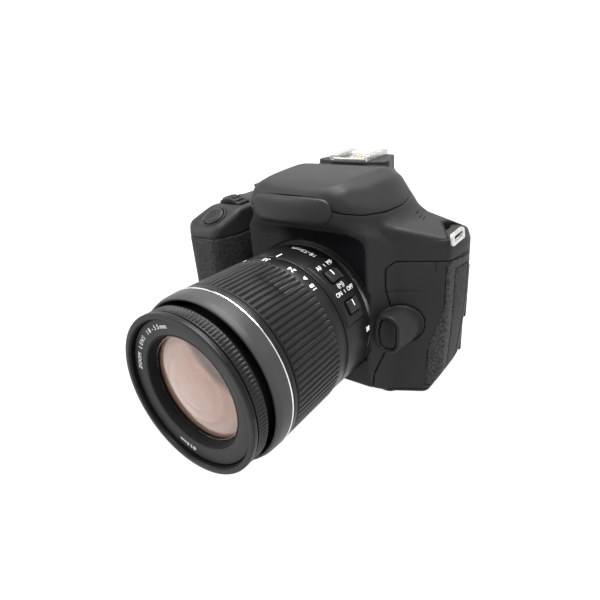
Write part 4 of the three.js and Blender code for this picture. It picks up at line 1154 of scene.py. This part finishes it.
def mount():
    low, high = span("body_mount_ring")
    turns = [math.radians(36 + 72 * k) for k in range(5)]
    places = [(29.9 * math.sin(turn), AXIS_Z + 29.9 * math.cos(turn)) for turn in turns]

    def ring(s):
        away = about_axis(s)
        band = meet(np.maximum(away - 31.5, 27.0 - away), np.maximum(low[1] - s.y, s.y - high[1]), 0.35)
        band = cut(band, s.bore(LOCK_PIN[0], LOCK_PIN[2], 1.8, -50, -30), 0.15)
        return cut_all(band, *((s.bore(x, z, 1.25, low[1] - 1, low[1] + 0.5), 0.1) for x, z in places))

    cut_piece("mount_ring_turned", low, high, ring, STEEL, "body", "steel", 0.32, "body_mount_ring")
    for k, (x, z) in enumerate(places):
        screw("mount_screw_" + str(k + 1), (x, low[1] + 0.45, z), (0, -1, 0), 1.15)


def screw(name, place, out, radius):
    """A small cross-head screw: a domed head with a cross-shaped recess."""
    out = np.array(out, float)
    first = unit(np.cross(out, (0.3, 0.5, 0.8)))
    second = np.cross(out, first)

    def head(s):
        px, py, pz = s.x - place[0], s.y - place[1], s.z - place[2]
        along, u, v = [px * d[0] + py * d[1] + pz * d[2] for d in (out, first, second)]
        away2 = np.maximum(px * px + py * py + pz * pz - along * along, 0)
        dome = meet(np.sqrt(away2) - radius, np.maximum(along - 0.35 + away2 * 0.12, -along - 0.5), 0.1)
        u, v = np.abs(u), np.abs(v)
        cross = np.minimum(np.maximum(u - 0.16, v - radius * 0.6), np.maximum(v - 0.16, u - radius * 0.6))
        return cut(dome, np.maximum(cross, -along - 0.1))

    reach = radius + 0.3
    cut_piece(name, np.array(place) - reach, np.array(place) + reach, head, STEEL, "body", "steel", 0.14)


# ------------------------------------------------------------------ top of the body
def shoe():
    low, high = span("hot_shoe")

    def rails(s):
        plate = meet(s.block(low[0], high[0], low[1], high[1], low[2], high[2], 0.2), s.z - high[2], 0.15)
        channel = s.block(-9.3, 9.3, low[1] - 1, high[1] + 1, low[2] + 0.45, high[2] - 0.6)
        opening = s.block(-6.3, 6.3, low[1] - 1, high[1] + 1, low[2] + 0.45, high[2] + 1)
        stop = s.block(-8.6, 8.6, low[1] - 0.1, low[1] + 0.7, low[2] + 0.3, low[2] + 1.5, 0.2)
        return np.minimum(cut_all(plate, (channel, 0.12), (opening, 0.15)), stop)

    cut_piece("hot_shoe_rails", low, high, rails, STEEL, "body", "steel", 0.2, "hot_shoe")
    places = ((0, 7), (-3.2, 10), (3.2, 10), (-3.2, 4.4), (3.2, 4.4))
    cut_piece("hot_shoe_contacts", (-6, 2, 99.9), (6, 12, 100.6), lambda s: np.minimum.reduce([
        s.post(u, v, 1.0, 99.9, 100.45, 0.15) for u, v in places
    ]), BRASS, "body", "steel", 0.16)


def shutter_release():
    dress(spun("shutter_button_cap", SHUTTER_PLACE, SHUTTER_AXIS, [
        (0, -3.4, 0), (5.2, -3.4, 0), (5.3, 0.9, 0.5), (3.6, 1.15, 2), (0, 0.55, 0),
    ], KEY, "shutter_button", steps=5), "shutter_button")
    dress(spun("shutter_collar", SHUTTER_PLACE, SHUTTER_AXIS, [
        (5.65, -1.6, 0), (6.5, -1.6, 0.1), (6.45, 0.55, 0.3), (5.7, 0.3, 0.2),
    ], PLATE, "body"))


def dials():
    low, high = span("main_dial")
    half = (high[1] - low[1]) / 2
    dress(spun("main_dial_wheel", middle("main_dial"), (0, 1, 0), [
        (3, -half, 0), (8.4, -half, 0.3), (9.5, -half + 0.9, 0.3), (9.5, half - 0.9, 0.3), (8.4, half, 0.3),
        (3, half, 0),
    ], KEY, "main_dial", 24 * 12, fluted(24, 0.8)), "main_dial")
    for name in ("iso_button", "display_button"):
        low, high = span(name)
        radius = half_width(name)
        dress(spun(name + "_cap", (*middle(name)[:2], 0), (0, 0, 1), [
            (0, low[2], 0), (radius, low[2], 0), (radius, high[2] - 0.2, 0.35), (0, high[2], 0),
        ], KEY, name, 40), name)
    x, y = middle("mode_dial")[:2]
    top = span("mode_dial")[1][2]
    dress(spun("mode_dial_wheel", (x, y, 0), (0, 0, 1), [
        (0, 78, 0), (2.8, 78, 0), (2.8, top - 4.3, 0.1), (9.3, top - 4.3, 0.3), (9.35, top - 0.7, 0.3),
        (8.5, top, 0.4),
        (7.6, top - 0.15, 0.2), (0, top - 0.15, 0),
    ], KEY, "mode_dial", 44 * 10, fluted(44, 0.45)), "mode_dial")
    marks = ("M", "A", "S", "P", "\u25a1", "1", "2", "\u25cf")
    for k, mark in enumerate(marks):
        out, along = compass(360 * k / len(marks) + 25)
        engrave("mode_mark_" + str(k + 1), mark, 1.9, out * 6.0 + (x, y, top - 0.15), along, out,
            "mode_dial")
    low, high = span("power_lever")

    def lever(s):
        disc = s.post(x, y, 11.4, low[2], low[2] + 1.1, 0.3)
        tip = low[0] + 0.2
        plan = shape(s.x, s.y, [(tip, y - 1.6, 1), (x - 9, y - 3.2, 1), (x - 9, y + 3.2, 1),
            (tip, y + 1.6, 1)])
        arm = meet(plan, np.maximum(low[2] - s.z, s.z - high[2]), 0.5)
        return cut(join(disc, arm, 0.6), s.post(x, y, 3.2, 70, 99))

    cut_piece("power_lever_disc", low, high, lever, KEY, "power_lever", "control_plastic", 0.3,
        "power_lever")
    for text, degrees in (("ON", 75), ("OFF", 105)):
        out, along = compass(degrees)
        place = out * 12.9 + (x, y, 0)
        rise = [top_height(*(place + step)[:2]) - top_height(*(place - step)[:2]) for step in (along, out)]
        place[2] = top_height(*place[:2])
        engrave("power_mark_" + text.lower(), text, 1.3, place, along * 2 + (0, 0, rise[0]),
            out * 2 + (0, 0, rise[1]),
                "body", 0.08)


def compass(degrees):
    """The direction at an angle in the plan, and the direction clockwise round from it."""
    turn = math.radians(degrees)
    out = np.array((math.cos(turn), math.sin(turn), 0))
    return out, np.cross(out, (0, 0, 1))


# a near-black bar set half into the top stands for each slit: painted shade, not a hole
def microphone_slit_shade(name, x, y, half_length):
    surface = top_height(x, y)
    along = unit((-0.54, 2.94, top_height(x, y + 1.5) - top_height(x, y - 1.5)))

    def bar(s):
        px, py, pz = s.x - x, s.y - y, s.z - surface
        t = np.clip(px * along[0] + py * along[1] + pz * along[2], -half_length, half_length)
        return np.sqrt((px - t * along[0]) ** 2 + (py - t * along[1]) ** 2 + (pz - t * along[2]) ** 2) - 0.28

    cut_piece(name, (x - 1.2, y - 2.8, surface - 1.2), (x + 1.2, y + 2.8, surface + 1.2), bar, INNER, "body",
              "body_plastic", 0.12)


def top_marks():
    for k, slit in enumerate(((37.1, -9.2, 1.9), (39.1, -10.5, 1.9), (40.9, -11.0, 1.8), (37.4, -2.8, 0.8))):
        microphone_slit_shade("microphone_slit_shade_" + str(k + 1), *slit)


def outermost(column, start):
    """Where the last sample inside the body gives way to the outside, along a line of samples."""
    k = int(np.nonzero(column < 0)[0].max())
    if k + 1 == len(column):
        return start + VOXEL * k
    return start + VOXEL * (k + column[k] / (column[k] - column[k + 1]))


def sample(value, axis):
    return int(round((value - WHOLE.low[axis]) / VOXEL))


def top_height(x, y):
    """Height of the body's top surface above a point of the base."""
    return outermost(BODY_FIELD[sample(x, 0), sample(y, 1)], WHOLE.low[2])


def rear_depth(x, z):
    """Where the body's back surface stands behind a point of its front view."""
    return outermost(BODY_FIELD[sample(x, 0), :, sample(z, 2)], WHOLE.low[1])


def lugs():
    for name, out in (("strap_lug_right", 1), ("strap_lug_left", -1)):
        low, high = span(name)
        x, _, z = middle(name)

        def loop(s):
            bow = shape(s.y, s.z, [
                (low[1] + 0.3, low[2], 1.0), (high[1] - 0.3, low[2], 1.0), (high[1] - 0.8, high[2], 1.6),
                (low[1] + 0.8, high[2], 1.6),
            ])
            window = shape(s.y, s.z, [
                (low[1] + 2.0, low[2] + 1.5, 0.6), (high[1] - 2.0, low[2] + 1.5, 0.6),
                (high[1] - 2.4, high[2] - 1.1, 0.8), (low[1] + 2.4, high[2] - 1.1, 0.8),
            ])
            lean = (s.z - z) * 0.12 * out
            return meet(cut(bow, window, 0.3), np.abs(s.x - x + lean) - 0.75, 0.3)

        cut_piece(name + "_loop", low, high, loop, STEEL, "body", "steel", 0.2, name)


# ------------------------------------------------------------------ back of the body
PAD_MIDDLE = 6.4  # radius of the arrow pad's four marks


def frame_outline(s, low, high, inset, radius):
    """The front view of a rounded rectangle, set in from a box."""
    x0, z0, x1, z1 = low[0] + inset[0], low[2] + inset[2], high[0] - inset[1], high[2] - inset[2]
    return shape(s.x, s.z, [(x0, z0, radius), (x1, z0, radius), (x1, z1, radius), (x0, z1, radius)])


def monitor_panel():
    low, high = span("monitor")
    high[0] = 48.0  # the hinge's neck fills the rest of the node's width
    hinge_x, hinge_y = 50.8, 16.4

    def panel(s):
        slab = meet(frame_outline(s, low, high, (0, 0, 0), 3), np.maximum(low[1] - s.y, s.y - high[1]), 0.9)
        slab = cut(slab, meet(frame_outline(s, low, high, (3, 4, 3), 1.5), high[1] - 0.5 - s.y), 0.15)
        hinge = s.post(hinge_x, hinge_y, 2.25, 22, 50, 0.4)
        neck = s.block(high[0] - 1, hinge_x, hinge_y - 1.4, hinge_y + 1.4, 22.4, 49.6, 0.3)
        return join(slab, join(hinge, neck, 0.5), 0.5)

    def pane(s):
        return s.block(low[0] + 3.2, high[0] - 4.2, high[1] - 0.7, high[1] - 0.12, low[2] + 3.2,
            high[2] - 3.2, 0.25)

    cut_piece("monitor_housing", *span("monitor"), panel, PLATE, "monitor", "monitor_plastic", 0.4,
        "monitor")
    cut_piece("monitor_glass", (low[0] + 3, high[1] - 1, low[2] + 3), (high[0] - 4, high[1], high[2] - 3),
              pane, SCREEN, "monitor", "screen_glass", 0.4)


def eyepiece():
    low, high = span("eyecup")

    def cup(s):
        rear = np.clip((s.y - low[1]) / (high[1] - low[1]), 0, 1)
        top = high[2] - 2
        outer = shape(s.x, s.z, [(19.2, low[2], 6), (17.2, top, 7), (-17.2, top, 7), (-19.2, low[2], 6)])
        outer = outer + 1.6 * rear
        hole = shape(s.x, s.z, [(11, 75.5, 3), (11, 87.5, 3), (-11, 87.5, 3), (-11, 75.5, 3)])
        hole = hole - 3.2 * np.clip(rear * 2 - 0.9, 0, 1)
        rim = s.y - high[1] + (s.x / 19) ** 2 * 1.2
        return cut(meet(outer, np.maximum(low[1] - s.y, rim), 1.0), hole, 0.8)

    def window(s):
        plan = shape(s.x, s.z, [(-10.4, 76, 2), (10.4, 76, 2), (10.4, 87, 2), (-10.4, 87, 2)])
        bulge = ((s.x / 12) ** 2 + ((s.z - 81.5) / 8) ** 2) * 0.5
        return meet(plan, np.maximum(16.2 - s.y, s.y - 17.2 + bulge), 0.2)

    cut_piece("eyecup_moulding", low, high, cup, SOFT, "body", "eyecup_rubber", 0.4, "eyecup")
    cut_piece("eyepiece_glass", (-10.6, 16, 75.8), (10.6, 17.6, 87.2), window, EYE_GLASS, "body",
        "lens_glass", 0.3)
    low, high = span("diopter_dial")
    half, radius = half_width("diopter_dial"), (high[1] - low[1]) / 2
    dress(spun("diopter_wheel", middle("diopter_dial"), (1, 0, 0), [
        (0, -half, 0), (radius - 0.5, -half, 0.2), (radius, -half + 0.5, 0.1), (radius, half - 0.5, 0.1),
        (radius - 0.5, half, 0.2), (0, half, 0),
    ], KEY, "diopter_dial", 18 * 12, fluted(18, 0.35)), "diopter_dial")


def rear_controls():
    for name in REAR_KEYS:
        key(name)
    x, _, z = middle("control_dial")
    low, high = span("control_dial")
    dress(spun("control_dial_ring", (x, 0, z), (0, 1, 0), [
        (9.2, low[1], 0), (12.9, low[1], 0), (13, high[1] - 0.9, 0.3), (12.2, high[1], 0.4),
        (9.9, high[1] - 0.2, 0.3),
        (9.2, high[1] - 0.9, 0.1),
    ], KEY, "control_dial", 60 * 10, fluted(60, 0.3)), "control_dial")
    low, high = span("arrow_pad")

    def pad(s):
        away = np.sqrt((s.x - x) ** 2 + (s.z - z) ** 2)
        face = s.y - high[1] + (away - PAD_MIDDLE) ** 2 * 0.05
        ring = meet(np.maximum(away - 8.8, 3.95 - away), np.maximum(low[1] - s.y, face), 0.35)
        for du, dv in ((1, 0), (-1, 0), (0, 1), (0, -1)):
            u, v = s.x - x - du * PAD_MIDDLE, s.z - z - dv * PAD_MIDDLE
            ring = cut(ring, np.sqrt(u**2 + v**2 + (s.y - high[1] - 0.4) ** 2) - 0.8, 0.1)
        return ring

    cut_piece("arrow_pad_ring", low, high, pad, KEY, "arrow_pad", "control_plastic", 0.25, "arrow_pad")
    key("set_button")
    for name, text, offset in (
        ("menu_button", "MENU", 5.0), ("info_button", "INFO", 5.0), ("af_on_button", "AF-ON", 4.4),
        ("ae_lock_button", "\u2217", 4.2), ("af_point_button", "+", 4.2),
        ("playback_button", "\u25b6", -4.6),
        ("erase_button", "\u00d7", -4.6),
    ):
        x, _, z = middle(name)
        z += offset
        rise = rear_depth(x, z + 0.9) - rear_depth(x, z - 0.9)
        engrave("legend_" + name, text, 1.5, (x, rear_depth(x, z), z), (-1, 0, 0), (0, rise, 1.8), "body",
                0.04)


# ------------------------------------------------------------------ underside
def underside():
    low, high = span("tripod_socket")
    threads = []
    for k in range(8):
        threads += [(3.0, 5.9 - 0.75 * k, 0), (3.3, 5.55 - 0.75 * k, 0)]
    dress(spun("tripod_bushing", (*middle("tripod_socket")[:2], 0), (0, 0, 1), [
        (3.3, 0.2, 0.1), (5.8, 0.1, 0.2), (5.8, high[2], 0.3), (3.2, high[2], 0), (3.2, 6.6, 0),
    ] + threads, STEEL, "body", 96), "tripod_socket")
    low, high = span("battery_door")
    first, last = span("battery_latch")

    def door(s):
        slab = s.block(low[0], high[0], low[1], high[1], low[2], high[2], 1.0)
        well = s.block(low[0] + 2, low[0] + 8, first[1] - 0.4, last[1] + 0.4, -1, high[2] - 0.6, 0.8)
        return cut(meet(slab, low[2] - s.z, 0.3), well, 0.2)

    def latch(s):
        slab = s.block(first[0], last[0], first[1], last[1], first[2], last[2], 0.3)
        wave = np.abs((s.y - first[1]) % 1.2 - 0.6) - 0.25
        return cut(slab, np.maximum(wave, s.z - first[2] - 0.25), 0.05)

    cut_piece("battery_door_panel", low, high, door, BODY, "battery_door", "body_plastic", 0.3,
        "battery_door")
    cut_piece("battery_latch_slider", first, last, latch, KEY, "battery_latch", "control_plastic", 0.15,
        "battery_latch")
    for k, (x, y) in enumerate(((-30, -18), (30, -18), (46, 8), (-30, 9), (20, 9))):
        screw("base_screw_" + str(k + 1), (x, y, 0.38), (0, 0, -1), 1.5)


# ------------------------------------------------------------------ inside
def lens_inside():
    front, rear = [corner[1] for corner in span("inner_barrel")]
    dress(lathe("inner_barrel_tube", [
        (26.95, front, 0.1), (28.35, front, 0.2), (28.35, rear, 0.1), (26.95, rear, 0.1),
    ], BARREL, "inner_barrel"), "inner_barrel")
    front, rear = [corner[1] for corner in span("helicoid")]
    profile = [(25.4, front, 0.1), (26.4, front, 0.1)]
    for k in range(14):
        profile += [(26.25, front + 4 + 2 * k, 0), (26.5, front + 5 + 2 * k, 0)]
    profile += [(26.4, rear, 0.1), (25.4, rear, 0.1)]
    dress(lathe("helicoid_thread", profile, INNER, "helicoid"), "helicoid")
    dress(lathe("front_cell", [
        (12.5, -96.5, 0.3), (20.8, -101.2, 0.5), (21.4, -104.6, 0.2), (21.6, -104.6, 0), (21.6, -95.6, 0),
        (12.5, -95.6, 0),
    ], INNER, "helicoid"))
    front, rear = [corner[1] for corner in span("rear_lens_group")]
    dress(lathe("rear_group_cell", [
        (12.5, front, 0.4), (16.9, front, 0.6), (16.9, rear, 0.6), (12.5, rear, 0.4),
    ], INNER, "lens"), "rear_lens_group")
    cap("rear_lens", 12.6, -1.4, rear - 4, 2.6, COATED_AND_REFLECTION, "lens", -2.0)
    cap("rear_group_front_lens", 12.6, 1.8, front + 2, 2.2, COATED_AND_REFLECTION, "lens")


def repaint():
    """Better finishes on the CAD pieces that keep their own shape, all of them inside the covers."""
    for name, finish in {
        "mirror_box": INNER, "focusing_screen": FROSTED, "pentamirror": INNER, "shutter_unit": INNER,
        "shutter_curtain": BLADE, "image_sensor": SENSOR, "main_board": BOARD, "battery": CELL,
        "reflex_mirror": MIRROR,
        "sub_mirror": MIRROR,
    }.items():
        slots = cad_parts[name].data.materials
        slots.clear()
        slots.append(finish.material)


for part in (
    front_cover, left_panel, rear_cover, top_cover, base_cover, coverings, flash_head, doors,
    pocket_linings, barrel,
    zoom_ring, focus_barrel, glass, front_details, mount, shoe, shutter_release, dials, top_marks, lugs,
    monitor_panel,
    eyepiece, rear_controls, underside, lens_inside, repaint,
):
    part()


# ------------------------------------------------------------------ camera, floor and lights
def look():
    camera = bpy.data.cameras.new("camera")
    camera.lens = 29.31
    camera.sensor_width = 36
    camera.clip_start = 0.01
    eye = bpy.data.objects.new("camera", camera)
    forward = Vector((-0.5569, 0.7153, -0.4221)).normalized()
    up = Vector((-0.1936, 0.3824, 0.9035))
    right = forward.cross(up).normalized()
    up = right.cross(forward)
    turn = Matrix((right, up, -forward)).transposed().to_4x4()
    eye.matrix_world = Matrix.Translation(Vector((120.9, -204.5, 139.1)) * MM) @ turn
    bpy.context.scene.collection.objects.link(eye)
    bpy.context.scene.camera = eye


def lamp(name, place, target, size, power):
    light = bpy.data.lights.new(name, "AREA")
    light.shape = "RECTANGLE"
    light.size, light.size_y = size[0] * MM, size[1] * MM
    light.energy = power
    holder = bpy.data.objects.new(name, light)
    holder.location = Vector(place) * MM
    holder.rotation_euler = (Vector(target) * MM - holder.location).to_track_quat("-Z", "Y").to_euler()
    bpy.context.scene.collection.objects.link(holder)


def sweep():
    """A round paper floor that curves up into a wall, all the way round. Its sizes are in metres."""
    floor, curve, wall, sides = 3.0, 1.5, 4.0, 64
    line = [(0.001, 0.0), (1.0, 0.0), (floor, 0.0)]
    bends = np.linspace(0.1, math.pi / 2, 12)
    line += [(floor + math.sin(t) * curve, curve - math.cos(t) * curve) for t in bends]
    line.append((floor + curve, wall))
    turns = np.arange(sides) * 2 * math.pi / sides
    vertices = [(r * math.cos(t), r * math.sin(t), h) for r, h in line for t in turns]
    faces = [
        (i * sides + k, i * sides + (k + 1) % sides, (i + 1) * sides + (k + 1) % sides, (i + 1) * sides + k)
        for i in range(len(line) - 1) for k in range(sides)
    ]
    mesh = bpy.data.meshes.new("paper_sweep")
    mesh.from_pydata(vertices, [], faces)
    paper = grained("paper", (0.1, 0.1, 0.1), (0.12, 0.12, 0.12), 0.9, grain=0.5, depth=0.01)
    paper.feed(paper.surface, {"Emission Color": (1, 1, 1, 1), "Emission Strength": 1.0})
    mesh.materials.append(paper.material)
    mesh.polygons.foreach_set("use_smooth", [True] * len(mesh.polygons))
    piece = bpy.data.objects.new("paper_sweep", mesh)
    bpy.context.scene.collection.objects.link(piece)


def studio():
    scene = bpy.context.scene
    scene.world = bpy.data.worlds.new("studio")
    scene.world.use_nodes = True
    sky = scene.world.node_tree.nodes["Background"]
    sky.inputs["Color"].default_value = (1, 1, 1, 1)
    sky.inputs["Strength"].default_value = 0.3
    lamp("overhead", (60, 60, 900), (0, -20, 40), (900, 700), 26)
    lamp("front_left", (-500, -500, 420), (-20, -40, 50), (400, 400), 4)
    sweep()
    scene.view_settings.view_transform = "Standard"


look()
studio()
